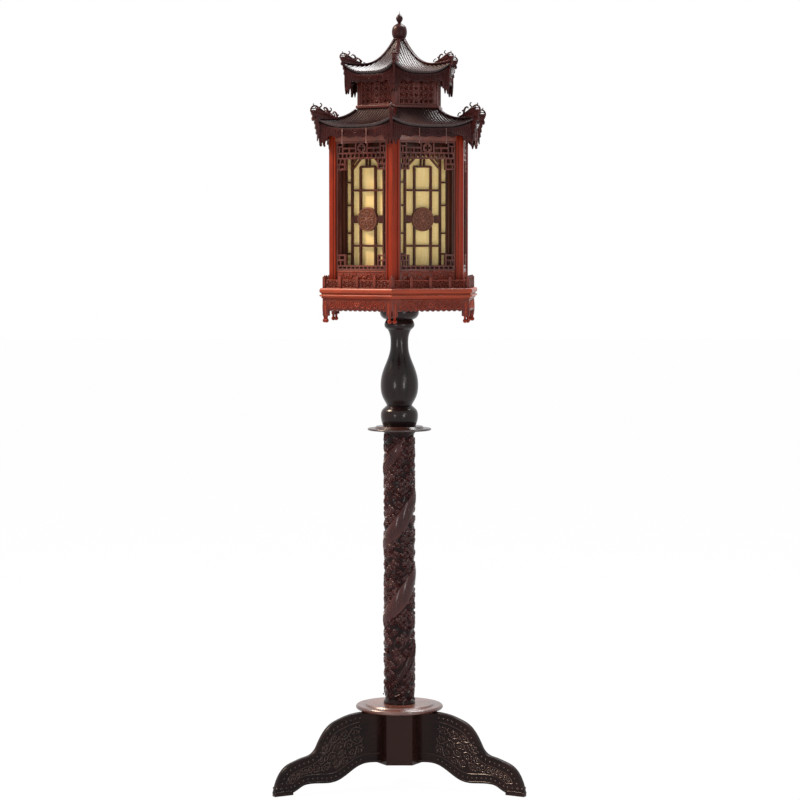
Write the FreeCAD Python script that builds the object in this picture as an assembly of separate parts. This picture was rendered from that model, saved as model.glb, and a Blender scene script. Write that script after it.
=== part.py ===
import FreeCAD, Part

# A carved hardwood lantern on a floor stand: three carved legs under a turned base, a carved
# column, a turned baluster, and a six-sided two-layered lantern under a double curved roof.
# Millimetres, +Z up. The origin is where the axis of the column meets the floor.

import math
import os

V = FreeCAD.Vector
ORIGIN = V(0, 0, 0)
UP = V(0, 0, 1)

# ---------------------------------------------------------------- fits
SLIP = 0.2                 # between pieces that are curved or that lift apart
RUNNING = 0.05             # radial, lantern floor on the threaded tube
BORE_CLEARANCE = 1.5       # radial, turned pieces over the threaded tube

# ---------------------------------------------------------------- stand
LEG_REACH = 339.0          # axis to the toe
LEG_HEIGHT = 178.0         # floor to the seat of the base disc
LEG_THICKNESS = 16.0
LEG_BACK_ROUND = 4.5       # edges along the top of a leg
LEG_BELLY_ROUND = 2.0      # edges along its underside
LEG_DIRECTIONS = {"leg_right": -30.0, "leg_rear": 90.0, "leg_left": 210.0}
SOLE_THICKNESS = 6.0
SOLE_LENGTH = 48.0
SOLE_INSET = 1.5           # sole edge inside the leg's faces
HUB_APOTHEM = 53.0
HUB_HEIGHT = 128.0
DOWEL_R = 4.0
DOWEL_LENGTH = 60.0
DOWEL_HEIGHTS = (88.0, 146.0)
DOWEL_CLEARANCE = 0.1
BASE_DISC_R = 104.0
BASE_DISC_THICKNESS = 10.0
BASE_STEP_R = 80.0
BASE_STEP_THICKNESS = 3.0
COLUMN_R = 37.0
COLUMN_LENGTH = 652.5
CAP_DISC_R = 75.5
CAP_DISC_THICKNESS = 5.0
CAP_STEP_R = 54.6
CAP_STEP_THICKNESS = 5.0
BALUSTER_BELLY_R = 44.7
BALUSTER_HEIGHT = 252.5
CUP_LIP_R = 46.2
CUP_HEIGHT = 58.0
CUP_TOP_R = 60.0

# ---------------------------------------------------------------- threaded tube and its hardware
TUBE_R = 5.0
TUBE_BORE_R = 3.2
NUT_ACROSS_FLATS = 17.0
NUT_THICKNESS = 6.0
WASHER_R = 13.0
WASHER_THICKNESS = 2.0
COUNTERBORE_R = 17.0
COUNTERBORE_DEPTH = 14.0
TUBE_FOOT = 3.0            # tube end below its lower nut
GROMMET_FLANGE_R = 7.5
GROMMET_FLANGE_THICKNESS = 2.0
GROMMET_WALL = 1.0
GROMMET_SLEEVE = 10.0

# ---------------------------------------------------------------- lamp
HOLDER_R = 20.0
HOLDER_CAP_HEIGHT = 18.0
HOLDER_SHELL_HEIGHT = 38.0
HOLDER_SOCKET_DEPTH = 30.0
HOLDER_LIFT = 14.0         # holder above the upper nut
BULB_CAP_R = 13.3
BULB_CAP_LENGTH = 26.0
BULB_R = 30.0
BULB_NECK_R = 15.0
BULB_NECK_LENGTH = 20.0
BULB_FIT = 0.3

# ---------------------------------------------------------------- lantern body
LANTERN_TURN = -5.0        # the lantern stands a little off square over its legs
TRAY_CORNER_R = 206.0
TRAY_HEIGHT = 23.5
TRAY_FOOT_HEIGHT = 4.0      # plain band under the bead
TRAY_BEAD_HEIGHT = 4.5
TRAY_NOSE_HEIGHT = 10.5     # rounded band along the top
TRAY_RECESS = 4.5           # foot and hollow inside the nose
TRAY_RAIL_WIDTH = 30.0
FLOOR_THICKNESS = 17.5
APRON_CORNER_R = 198.0
APRON_THICKNESS = 8.0
APRON_HEIGHT = 30.0
APRON_SCALLOPS = 6         # from the middle of an apron to its foot block
APRON_SCALLOP_DEPTH = 3.75
APRON_FOOT_WIDTH = 14.0
APRON_FOOT_DROP = 11.0
APRON_FOOT_INSET = 2.0
DROP_BALL_R = 5.0
DROP_HEIGHT = 16.0
RAILING_CORNER_R = 198.0
RAILING_THICKNESS = 4.0
RAILING_HEIGHT = 20.0
RAILING_RAIL = 3.0
RAILING_BAR = 2.0
RAILING_SLOTS = 5           # side by side in one bay
RAILING_POST = 7.0
RAILING_POST_HEIGHT = 30.0
BODY_CORNER_R = 181.0
BODY_HEIGHT = 366.5
POST_FACE = 18.0
POST_DEPTH = 16.0
POST_GROOVE = 1.2
POST_GROOVE_INSET = 5.0    # from the inner edge of a post's face
SKIRT_HEIGHT = 40.5
SKIRT_THICKNESS = 10.0
PANEL_SETBACK = 3.0
FRET_THICKNESS = 8.0
BEAM_HEIGHT = 26.0
BEAM_THICKNESS = 14.0
SCREEN_SETBACK = 27.0      # outer face of the inner screens behind the posts' faces
SCREEN_THICKNESS = 6.0
SCREEN_POST_FACE = 10.0
SCREEN_POST_DEPTH = 12.0
SCREEN_TOP_GAP = 22.0      # ceiling ring below the top of the body
CEILING_THICKNESS = 8.0
CEILING_OPENING = 96.0     # apothem
LINING_THICKNESS = 1.0
LINING_MARGIN = 2.0        # fabric inside the edge of its screen

# fretwork
BAR = 4.0
FRET_BORDER = 5.0
FRIEZE_HEIGHT = 28.0
BRICK_HEIGHT = 12.0
SIDE_DROP = 67.0
SIDE_WIDTH = 27.0
FOOT_BAND = 11.0
FOOT_STEP = 38.0
OCTAGON_R = 12.0
SCREEN_BAR = 4.6
SCREEN_OUTER_Y = 45.0
SCREEN_INNER_Y = 21.0
SCREEN_SILL = 50.0         # solid foot of a screen
SCREEN_HEAD = 38.0         # solid head of a screen
SCREEN_CHAMFER = 25.0
MEDALLION_R = 28.0
ROSETTE_PETALS = 8
MEDALLION_HEIGHT = 160.0   # centre above the tray

# ---------------------------------------------------------------- roof
ROOF_FRAME_THICKNESS = 6.0
ROOF_FRAME_WIDTH = 29.0
LOCATING_RIM_DEPTH = 8.0
LOCATING_RIM_WIDTH = 5.0
LOCATING_RIM_PLAY = 1.0
TILE_THICKNESS = 6.5
EAVE_HOLLOW = 0.02         # how far the middle of an eave draws in, as a share of its distance
SWEEP_POWER = 2.4
EAVE_LIFT_POWER = 3.0
RIDGE_WIDTH = 9.0
RIDGE_HEIGHT = 5.0
RAFTER_THICKNESS = 10.0
VALANCE_THICKNESS = 5.0
VALANCE_SETBACK = 6.0      # valance inside the eave, measured at the corner
HEAD_THICKNESS = 8.0

LOWER_TIP_R = 213.0
LOWER_INNER = 92.0
LOWER_RISE = 52.0          # inner edge above the body
LOWER_HIP_LOW = 24.5       # lowest place of the hip above the body
LOWER_HIP_LOW_R = 184.0
LOWER_HIP_TIP = 27.5
LOWER_MID_LOW = 9.4
LOWER_VALANCE_DEPTH = 21.0
LOWER_WING_DROP = 57.0
LOWER_HEAD_LENGTH = 50.0
LOWER_HEAD_HEIGHT = 31.0

DRUM_CORNER_R = 108.8
DRUM_LEDGE_R = 113.0
DRUM_LEDGE_THICKNESS = 7.5
DRUM_POST_FACE = 9.0
DRUM_POST_DEPTH = 9.0
DRUM_HEIGHT = 60.5
DRUM_PANEL_THICKNESS = 5.0
DRUM_PANEL_SETBACK = 2.0
DRUM_RING_WIDTH = 11.0
DRUM_HOLE_COLUMNS = 7
DRUM_HOLE_ROWS = 4
DRUM_HOLE_R = 4.7

UPPER_FOOT = 13.0          # foot of the upper roof above the drum
UPPER_TIP_R = 147.0
UPPER_INNER = 13.0
UPPER_RISE = 79.5          # inner edge above the foot of the upper roof
UPPER_HIP_LOW = 20.0
UPPER_HIP_LOW_R = 100.0
UPPER_HIP_TIP = 26.0
UPPER_MID_LOW = 2.5
UPPER_VALANCE_DEPTH = 19.0
UPPER_WING_DROP = 66.0
UPPER_HEAD_LENGTH = 42.0
UPPER_HEAD_HEIGHT = 25.0
APEX_BLOCK_HEIGHT = 24.0

COLLAR_R = 15.6
COLLAR_THICKNESS = 6.5
FINIAL_BALL_R = 17.75
FINIAL_HEIGHT = 63.0
FINIAL_TENON_R = 5.0
FINIAL_TENON_LENGTH = 18.0

# ---------------------------------------------------------------- heights that follow from them
COS30 = math.cos(math.radians(30))
TAN30 = math.tan(math.radians(30))
HUB_FOOT_Z = LEG_HEIGHT - HUB_HEIGHT
BASE_Z = LEG_HEIGHT
COLUMN_Z = BASE_Z + BASE_DISC_THICKNESS + BASE_STEP_THICKNESS
CAP_Z = COLUMN_Z + COLUMN_LENGTH
BALUSTER_Z = CAP_Z + CAP_DISC_THICKNESS + CAP_STEP_THICKNESS
CUP_Z = BALUSTER_Z + BALUSTER_HEIGHT
FLOOR_Z = CUP_Z + CUP_HEIGHT
DECK_Z = FLOOR_Z + FLOOR_THICKNESS
TRAY_Z = DECK_Z - TRAY_HEIGHT
BODY_TOP_Z = DECK_Z + BODY_HEIGHT
FRET_Z = DECK_Z + SKIRT_HEIGHT
BEAM_Z = BODY_TOP_Z - BEAM_HEIGHT
CEILING_Z = BODY_TOP_Z - SCREEN_TOP_GAP
LEDGE_Z = BODY_TOP_Z + LOWER_RISE
DRUM_Z = LEDGE_Z + DRUM_LEDGE_THICKNESS
DRUM_TOP_Z = DRUM_Z + DRUM_HEIGHT
BODY_APOTHEM = BODY_CORNER_R * COS30
TRAY_APOTHEM = TRAY_CORNER_R * COS30
DRUM_APOTHEM = DRUM_CORNER_R * COS30
SCREEN_APOTHEM = BODY_APOTHEM - SCREEN_SETBACK
TUBE_FOOT_Z = HUB_FOOT_Z + COUNTERBORE_DEPTH - WASHER_THICKNESS - NUT_THICKNESS - TUBE_FOOT
UPPER_NUT_Z = DECK_Z + WASHER_THICKNESS
HOLDER_Z = UPPER_NUT_Z + NUT_THICKNESS + HOLDER_LIFT


# ================================================================ drawing helpers

def turn(shape, degrees):
    """Return a copy of the shape turned about the column's axis."""
    copy = shape.copy()
    copy.rotate(ORIGIN, UP, degrees)
    return copy


def group(solids):
    """Join separate solids into one named group."""
    return Part.makeCompound(list(solids))


def polygon_wire(points):
    """Closed wire through points."""
    return Part.makePolygon(list(points) + [points[0]])


def prism(plan, z0, z1):
    """Upright prism over a plan given as (x, y) points."""
    wire = polygon_wire([V(x, y, z0) for x, y in plan])
    return Part.Face(wire).extrude(V(0, 0, z1 - z0))


def hexagon(apothem, turned=0.0):
    """Plan of a regular hexagon whose faces look along +X when turned by 0."""
    corner = apothem / COS30
    angles = [math.radians(turned + 30 + 60 * k) for k in range(6)]
    return [(corner * math.cos(a), corner * math.sin(a)) for a in angles]


def hex_ring(inner, outer, z0, z1):
    """Flat hexagonal ring between two apothems."""
    return prism(hexagon(outer), z0, z1).cut(prism(hexagon(inner), z0, z1))


def cylinder(radius, z0, z1):
    """Upright cylinder on the axis."""
    return Part.makeCylinder(radius, z1 - z0, V(0, 0, z0))


def upright_plate(outline, x_outer, thickness):
    """Plate on a face of the hexagon, from (across, up) points, with its front at x_outer."""
    wire = polygon_wire([V(x_outer, y, z) for y, z in outline])
    return Part.Face(wire).extrude(V(-thickness, 0, 0))


def wedge(z0, z1, reach):
    """The sixth of the plan that belongs to one face of the hexagon."""
    return prism([(0, 0), (reach, -reach * TAN30), (reach, reach * TAN30)], z0, z1)


def curve(points):
    """Smooth edge through (r, z) points."""
    spline = Part.BSplineCurve()
    spline.interpolate([V(r, 0, z) for r, z in points])
    return spline.toShape()


def line(start, end):
    """Straight edge between two (r, z) points."""
    return Part.makeLine(V(start[0], 0, start[1]), V(end[0], 0, end[1]))


def turned(outline, bore):
    """Solid of revolution from stretches of (kind, points), with a bore on the axis."""
    edges = []
    for kind, points in outline:
        if kind == "curve":
            edges.append(curve(points))
        else:
            edges += [line(a, b) for a, b in zip(points, points[1:])]
    first = outline[0][1][0]
    last = outline[-1][1][-1]
    edges.append(line(last, (bore, last[1])))
    edges.append(line((bore, last[1]), (bore, first[1])))
    edges.append(line((bore, first[1]), first))
    return Part.Face(Part.Wire(edges)).revolve(ORIGIN, UP, 360)


def on_faces(shape):
    """Six copies, one on each face of the lantern."""
    return [turn(shape, LANTERN_TURN - 60 + 60 * k) for k in range(6)]


def on_corners(shape):
    """Six copies, one at each corner of the lantern, the first at the front."""
    return [turn(shape, LANTERN_TURN - 90 + 60 * k) for k in range(6)]


def bar_across(y0, y1, z, width):
    """Rectangle of a level bar, as (across, up) corners."""
    half = width / 2
    return [(y0, z - half), (y1, z - half), (y1, z + half), (y0, z + half)]


def bar_upright(y, z0, z1, width):
    """Rectangle of an upright bar."""
    half = width / 2
    return [(y - half, z0), (y + half, z0), (y + half, z1), (y - half, z1)]


def bar_slanted(start, end, width):
    """Rectangle of a slanted bar between two (across, up) points."""
    dy = end[0] - start[0]
    dz = end[1] - start[1]
    length = math.hypot(dy, dz)
    ny = -dz / length * width / 2
    nz = dy / length * width / 2
    return [
        (start[0] - ny, start[1] - nz),
        (end[0] - ny, end[1] - nz),
        (end[0] + ny, end[1] + nz),
        (start[0] + ny, start[1] + nz),
    ]


def mirrored(bars):
    """The bars and their mirror images across the middle of the panel."""
    return bars + [[(-y, z) for y, z in reversed(bar)] for bar in bars]


def flat_face(outline, x):
    """Flat face on the plane of a panel."""
    return Part.Face(polygon_wire([V(x, y, z) for y, z in outline]))


def regular_outline(center_y, center_z, radius, sides, first=0.0):
    """Corners of a regular polygon on the plane of a panel."""
    steps = [math.radians(first + 360 * k / sides) for k in range(sides)]
    return [(center_y + radius * math.cos(a), center_z + radius * math.sin(a)) for a in steps]


def fretwork(bars, holes, x_outer, thickness):
    """One openwork panel out of crossing bars, less the holes."""
    faces = [flat_face(bar, x_outer) for bar in bars]
    joined = faces[0].fuse(faces[1:]).removeSplitter()
    if holes:
        joined = joined.cut(Part.makeCompound([flat_face(hole, x_outer) for hole in holes]))
    return joined.extrude(V(-thickness, 0, 0))


# ================================================================ stand

def leg_outline():
    """Upper and lower edge of a leg as (r, z) points, from the hub to the toe."""
    upper = [(1.0, 1.0), (0.32, 1.0), (0.375, 0.99), (0.43, 0.968), (0.485, 0.933), (0.545, 0.882),
             (0.59, 0.81), (0.62, 0.735), (0.65, 0.635), (0.68, 0.535), (0.715, 0.483),
             (0.77, 0.455), (0.83, 0.42), (0.885, 0.38), (0.93, 0.315), (0.965, 0.215),
             (0.985, 0.12), (1.0, 0.0)]
    lower = [(0.85, 0.0), (0.83, 0.018), (0.805, 0.045), (0.775, 0.074), (0.74, 0.087),
             (0.70, 0.088), (0.63, 0.078), (0.566, 0.072), (0.503, 0.093), (0.44, 0.152),
             (0.376, 0.227), (0.313, 0.279), (0.25, 0.292), (0.20, 0.286), (1.0, 0.275)]
    root = HUB_APOTHEM
    foot = SOLE_THICKNESS
    top = [(root if k == 0 else LEG_REACH * r, foot + (LEG_HEIGHT - foot) * z)
           for k, (r, z) in enumerate(upper)]
    last = len(lower) - 1
    under = [(root if k == last else LEG_REACH * r, foot + (LEG_HEIGHT - foot) * z)
             for k, (r, z) in enumerate(lower)]
    return top, under


def leg():
    """One carved board leg along +X, with its two dowel holes."""
    top, under = leg_outline()
    flat = line(top[0], top[1])
    back = curve(top[1:])
    toe = line(top[-1], under[0])
    belly = curve(under)
    root = line(under[-1], top[0])
    face = Part.Face(Part.Wire([flat, back, toe, belly, root]))
    board = face.extrude(V(0, LEG_THICKNESS, 0))
    board.translate(V(0, -LEG_THICKNESS / 2, 0))
    board = board.makeFillet(LEG_BACK_ROUND, long_edges(board, top[1]))
    board = board.makeFillet(LEG_BELLY_ROUND, long_edges(board, under[0]))
    return board.cut(dowels(DOWEL_R + DOWEL_CLEARANCE))


def long_edges(board, start):
    """Curved edges on the two faces of a leg that begin or end at an outline point."""
    found = []
    for edge in board.Edges:
        ends = [edge.firstVertex().Point, edge.lastVertex().Point]
        meets = any(math.hypot(p.x - start[0], p.z - start[1]) < 1e-3 for p in ends)
        on_face = all(abs(abs(p.y) - LEG_THICKNESS / 2) < 1e-3 for p in ends)
        if meets and on_face and edge.Curve.TypeId == "Part::GeomBSplineCurve":
            found.append(edge)
    return found


def dowels(radius):
    """The two dowels of the leg along +X, half in the hub."""
    start = HUB_APOTHEM - DOWEL_LENGTH / 2
    rods = [Part.makeCylinder(radius, DOWEL_LENGTH, V(start, 0, z), V(1, 0, 0)) for z in DOWEL_HEIGHTS]
    return group(rods)


def sole():
    """Foot sole under the toe of the leg along +X."""
    half = LEG_THICKNESS / 2 - SOLE_INSET
    end = LEG_REACH - SOLE_INSET
    return prism([(end - SOLE_LENGTH, -half), (end, -half), (end, half), (end - SOLE_LENGTH, half)],
                 0, SOLE_THICKNESS)


def leg_hub():
    """Six-sided block that the legs are dowelled to."""
    block = prism(hexagon(HUB_APOTHEM, 30), HUB_FOOT_Z, LEG_HEIGHT)
    block = block.cut(cylinder(TUBE_R + BORE_CLEARANCE, HUB_FOOT_Z, LEG_HEIGHT))
    block = block.cut(cylinder(COUNTERBORE_R, HUB_FOOT_Z, HUB_FOOT_Z + COUNTERBORE_DEPTH))
    for direction in LEG_DIRECTIONS.values():
        block = block.cut(turn(dowels(DOWEL_R + DOWEL_CLEARANCE), direction))
    return block


def stepped_disc(z, radius, thickness, step_radius, step_thickness):
    """Turned disc with a rounded rim and a raised middle step."""
    nose = thickness / 2
    outline = [
        ("curve", [(radius - nose, z), (radius - nose * 0.3, z + nose * 0.3), (radius, z + nose),
                   (radius - nose * 0.3, z + nose * 1.7), (radius - nose, z + thickness)]),
        ("line", [(radius - nose, z + thickness), (step_radius + step_thickness, z + thickness)]),
        ("line", [(step_radius + step_thickness, z + thickness),
                  (step_radius, z + thickness + step_thickness)]),
    ]
    return turned(outline, TUBE_R + BORE_CLEARANCE)


def column():
    """Body of the carved column."""
    outline = [("line", [(COLUMN_R, COLUMN_Z), (COLUMN_R, CAP_Z)])]
    return turned(outline, TUBE_R + BORE_CLEARANCE)


def baluster():
    """Turned ball, waist, vase and neck."""
    r = BALUSTER_BELLY_R
    h = BALUSTER_HEIGHT
    z = BALUSTER_Z

    def at(radius_share, height_share):
        return (r * radius_share, z + h * height_share)

    outline = [
        ("curve", [at(0.86, 0.0), at(0.95, 0.045), at(0.99, 0.10), at(0.94, 0.145), at(0.76, 0.18),
                   at(0.665, 0.195)]),
        ("curve", [at(0.665, 0.195), at(0.72, 0.215), at(0.86, 0.26), at(0.96, 0.31), at(1.0, 0.38),
                   at(0.97, 0.45), at(0.86, 0.525), at(0.65, 0.62), at(0.50, 0.71), at(0.47, 0.78),
                   at(0.50, 0.85), at(0.62, 0.905)]),
        ("line", [at(0.62, 0.905), at(0.72, 0.92)]),
        ("curve", [at(0.72, 0.92), at(0.80, 0.95), at(0.76, 0.98), at(0.70, 1.0)]),
    ]
    return turned(outline, TUBE_R + BORE_CLEARANCE)


def lantern_cup():
    """Turned cup that carries the floor of the lantern."""
    r = CUP_LIP_R
    z = CUP_Z
    h = CUP_HEIGHT
    outline = [
        ("curve", [(r * 0.68, z), (r * 0.85, z + h * 0.06), (r * 0.97, z + h * 0.18),
                   (r, z + h * 0.33)]),
        ("curve", [(r, z + h * 0.33), (r * 1.02, z + h * 0.5), (CUP_TOP_R * 0.92, z + h * 0.8),
                   (CUP_TOP_R, z + h * 0.9)]),
        ("line", [(CUP_TOP_R, z + h * 0.9), (CUP_TOP_R, z + h)]),
    ]
    return turned(outline, TUBE_R + BORE_CLEARANCE)


def threaded_tube():
    """Tube that draws the whole stand together and carries the cable."""
    foot = TUBE_FOOT_Z
    head = HOLDER_Z + HOLDER_CAP_HEIGHT / 2
    return cylinder(TUBE_R, foot, head).cut(cylinder(TUBE_BORE_R, foot, head))


def nut(z):
    """Hexagon nut on the tube."""
    block = prism(hexagon(NUT_ACROSS_FLATS / 2), z, z + NUT_THICKNESS)
    return block.cut(cylinder(TUBE_R + RUNNING, z, z + NUT_THICKNESS))


def washer(z):
    """Flat washer on the tube."""
    return cylinder(WASHER_R, z, z + WASHER_THICKNESS).cut(
        cylinder(TUBE_R + RUNNING, z, z + WASHER_THICKNESS))


def lower_washer_z():
    """Underside of the washer in the hub's counterbore."""
    return HUB_FOOT_Z + COUNTERBORE_DEPTH - WASHER_THICKNESS


def cable_grommet():
    """Bush that guards the cable at the lower end of the tube."""
    z = TUBE_FOOT_Z
    sleeve = cylinder(TUBE_BORE_R - RUNNING, z, z + GROMMET_SLEEVE)
    flange = cylinder(GROMMET_FLANGE_R, z - GROMMET_FLANGE_THICKNESS, z)
    bore = cylinder(TUBE_BORE_R - GROMMET_WALL, z - GROMMET_FLANGE_THICKNESS, z + GROMMET_SLEEVE)
    return sleeve.fuse(flange).cut(bore)


# ================================================================ lamp

def lampholder_cap():
    """Lower half of the lampholder, screwed to the top of the tube."""
    z = HOLDER_Z
    h = HOLDER_CAP_HEIGHT
    outline = [
        ("curve", [(TUBE_R * 2, z), (HOLDER_R * 0.8, z + h * 0.3), (HOLDER_R, z + h)]),
    ]
    return turned(outline, TUBE_R + RUNNING)


def lampholder_shell():
    """Upper half of the lampholder with the socket for the bulb."""
    z = HOLDER_Z + HOLDER_CAP_HEIGHT
    top = z + HOLDER_SHELL_HEIGHT
    shell = cylinder(HOLDER_R, z, top)
    return shell.cut(cylinder(BULB_CAP_R + BULB_FIT, top - HOLDER_SOCKET_DEPTH, top))


def bulb_seat_z():
    """Where the bulb's glass begins, level with the top of the lampholder."""
    return HOLDER_Z + HOLDER_CAP_HEIGHT + HOLDER_SHELL_HEIGHT + BULB_FIT


def bulb_cap():
    """Screw cap of the bulb."""
    z = bulb_seat_z()
    return cylinder(BULB_CAP_R, z - BULB_CAP_LENGTH, z)


def bulb_glass():
    """Glass of the bulb, a neck that swells into a ball."""
    z = bulb_seat_z()
    middle = z + BULB_NECK_LENGTH + BULB_R
    join = middle - math.sqrt(BULB_R ** 2 - (BULB_NECK_R * 1.5) ** 2)
    neck = [(BULB_NECK_R, z), (BULB_NECK_R * 1.1, z + BULB_NECK_LENGTH * 0.5), (BULB_NECK_R * 1.5, join)]
    edges = [
        line((0, z), neck[0]),
        curve(neck),
        Part.Arc(V(BULB_NECK_R * 1.5, 0, join), V(BULB_R, 0, middle), V(0, 0, middle + BULB_R)).toShape(),
        line((0, middle + BULB_R), (0, z)),
    ]
    return Part.Face(Part.Wire(edges)).revolve(ORIGIN, UP, 360)


# ================================================================ lantern body

def floor_board():
    """Hexagonal floor inside the tray rails, turning on the tube."""
    board = prism(hexagon(TRAY_APOTHEM - TRAY_RAIL_WIDTH), FLOOR_Z, DECK_Z)
    return board.cut(cylinder(TUBE_R + RUNNING, FLOOR_Z, DECK_Z))


def tray_rail():
    """Moulded rail of the tray: a bead below, a hollow, and a rounded nose above."""
    inner = TRAY_APOTHEM - TRAY_RAIL_WIDTH
    low = TRAY_APOTHEM - TRAY_RECESS
    bead_foot = TRAY_Z + TRAY_FOOT_HEIGHT
    bead_top = bead_foot + TRAY_BEAD_HEIGHT
    bead_side = TRAY_APOTHEM - TRAY_BEAD_HEIGHT / 2
    nose_foot = DECK_Z - TRAY_NOSE_HEIGHT
    nose_low = TRAY_APOTHEM - TRAY_RECESS * 0.3
    nose_high = TRAY_APOTHEM - TRAY_RECESS * 0.6
    hollow = V(low + TRAY_RECESS * 0.15, 0, bead_top + (nose_foot - bead_top) * 0.65)
    edges = [
        line((inner, TRAY_Z), (low, TRAY_Z)),
        line((low, TRAY_Z), (low, bead_foot)),
        line((low, bead_foot), (bead_side, bead_foot)),
        Part.Arc(V(bead_side, 0, bead_foot), V(TRAY_APOTHEM, 0, (bead_foot + bead_top) / 2),
                 V(bead_side, 0, bead_top)).toShape(),
        line((bead_side, bead_top), (low, bead_top)),
        Part.Arc(V(low, 0, bead_top), hollow, V(nose_low, 0, nose_foot)).toShape(),
        Part.Arc(V(nose_low, 0, nose_foot), V(TRAY_APOTHEM, 0, (nose_foot + DECK_Z) / 2),
                 V(nose_high, 0, DECK_Z)).toShape(),
        line((nose_high, DECK_Z), (inner, DECK_Z)),
        line((inner, DECK_Z), (inner, TRAY_Z)),
    ]
    long = TRAY_CORNER_R
    rail = Part.Face(Part.Wire(edges)).extrude(V(0, long, 0))
    rail.translate(V(0, -long / 2, 0))
    return rail.common(wedge(TRAY_Z, DECK_Z, TRAY_CORNER_R))


def apron():
    """Carved apron under one rail, with its scalloped lower edge and two foot blocks."""
    apothem = APRON_CORNER_R * COS30
    half = apothem * TAN30
    bottom = TRAY_Z - APRON_HEIGHT
    foot_bottom = bottom - APRON_FOOT_DROP
    inner_foot = half - APRON_FOOT_INSET - APRON_FOOT_WIDTH
    outer_foot = half - APRON_FOOT_INSET
    step = inner_foot / APRON_SCALLOPS
    depth = APRON_SCALLOP_DEPTH
    right = [(half, TRAY_Z), (half, bottom + depth), (outer_foot, bottom), (outer_foot, foot_bottom),
             (inner_foot, foot_bottom), (inner_foot, bottom + depth)]
    for k in range(APRON_SCALLOPS, 0, -1):
        right.append((step * (k - 0.5), bottom))
        right.append((step * (k - 1), bottom + depth))
    left = [(-y, z) for y, z in reversed(right[:-1])]
    board = upright_plate(right + left, apothem, APRON_THICKNESS)
    return board.common(wedge(foot_bottom, TRAY_Z, APRON_CORNER_R))


def apron_drop(side):
    """Turned drop with a ball under one foot block."""
    apothem = APRON_CORNER_R * COS30
    across = apothem * TAN30 - APRON_FOOT_INSET - APRON_FOOT_WIDTH / 2
    top = TRAY_Z - APRON_HEIGHT - APRON_FOOT_DROP
    center = top - DROP_HEIGHT + DROP_BALL_R
    neck = DROP_BALL_R * 0.55
    join = center + math.sqrt(DROP_BALL_R ** 2 - neck ** 2)
    edges = [
        line((0, top), (APRON_THICKNESS * 0.48, top)),
        line((APRON_THICKNESS * 0.48, top), (neck, (top + join) / 2)),
        line((neck, (top + join) / 2), (neck, join)),
        Part.Arc(V(neck, 0, join), V(DROP_BALL_R, 0, center), V(0, 0, center - DROP_BALL_R)).toShape(),
        line((0, center - DROP_BALL_R), (0, top)),
    ]
    drop = Part.Face(Part.Wire(edges)).revolve(ORIGIN, UP, 360)
    drop.translate(V(apothem - APRON_THICKNESS / 2, side * across, 0))
    return drop


def railing_places():
    """Middles of a face's three short railing posts."""
    half = RAILING_CORNER_R * COS30 * TAN30
    return [-half / 2, 0.0, half / 2]


def railing_panel():
    """Openwork between the posts of the railing, four bays to a face."""
    apothem = RAILING_CORNER_R * COS30 - (RAILING_POST - RAILING_THICKNESS) / 2
    half = RAILING_CORNER_R / 2
    stops = [-half + RAILING_POST] + railing_places() + [half - RAILING_POST]
    panels = []
    for k in range(len(stops) - 1):
        left = stops[k] + (RAILING_POST / 2 if k > 0 else 0)
        right = stops[k + 1] - (RAILING_POST / 2 if k < len(stops) - 2 else 0)
        panels.append(railing_bay(left, right, apothem))
    return panels


def railing_bay(left, right, apothem):
    """One bay of the railing with two rows of slots."""
    top = DECK_Z + RAILING_HEIGHT
    bars = [
        bar_across(left, right, DECK_Z + RAILING_RAIL / 2, RAILING_RAIL),
        bar_across(left, right, DECK_Z + RAILING_HEIGHT / 2, RAILING_BAR),
        bar_across(left, right, top - RAILING_RAIL / 2, RAILING_RAIL),
    ]
    for k in range(RAILING_SLOTS + 1):
        y = left + RAILING_BAR / 2 + (right - left - RAILING_BAR) * k / RAILING_SLOTS
        bars.append(bar_upright(y, DECK_Z + RAILING_RAIL, top - RAILING_RAIL, RAILING_BAR))
    return fretwork(bars, [], apothem, RAILING_THICKNESS)


def railing_post(x, y):
    """Square railing post with a small cap."""
    half = RAILING_POST / 2
    top = DECK_Z + RAILING_POST_HEIGHT
    cap = top - half
    square = [(x - half, y - half), (x + half, y - half), (x + half, y + half), (x - half, y + half)]
    shaft = prism(square, DECK_Z, cap)
    ball = Part.makeCone(half * 0.9, half * 0.3, half, V(x, y, cap))
    return shaft.fuse(ball)


def railing_posts():
    """Corner posts and short posts of the railing."""
    half = RAILING_POST / 2
    shorts = [railing_post(RAILING_CORNER_R * COS30 - half, y) for y in railing_places()]
    corner = railing_corner_post()
    return [p for s in shorts for p in on_faces(s)] + on_corners(corner)


def railing_corner_post():
    """Corner post that the railing bays of two faces run into."""
    outer = RAILING_CORNER_R
    plan = corner_plan(outer, RAILING_POST, RAILING_POST)
    shaft = prism(plan, DECK_Z, DECK_Z + RAILING_POST_HEIGHT - RAILING_POST / 2)
    z = DECK_Z + RAILING_POST_HEIGHT - RAILING_POST / 2
    cap = Part.makeCone(RAILING_POST * 0.45, RAILING_POST * 0.15, RAILING_POST / 2,
                        V(outer - RAILING_POST * 0.75, 0, z))
    return shaft.fuse(cap)


def corner_plan(corner_r, face, depth):
    """Plan of a post on a corner along +X: two faces and a flat back."""
    side_x = corner_r - face / 2
    side_y = face * COS30
    back_x = side_x - depth * COS30
    back_y = side_y - depth / 2
    return [(corner_r, 0), (side_x, side_y), (back_x, back_y), (back_x, -back_y), (side_x, -side_y)]


def body_post():
    """Outer post with a fine groove along each face."""
    post = prism(corner_plan(BODY_CORNER_R, POST_FACE, POST_DEPTH), DECK_Z, BODY_TOP_Z)
    for side in (-1, 1):
        post = post.cut(post_groove(side))
    return post


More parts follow.
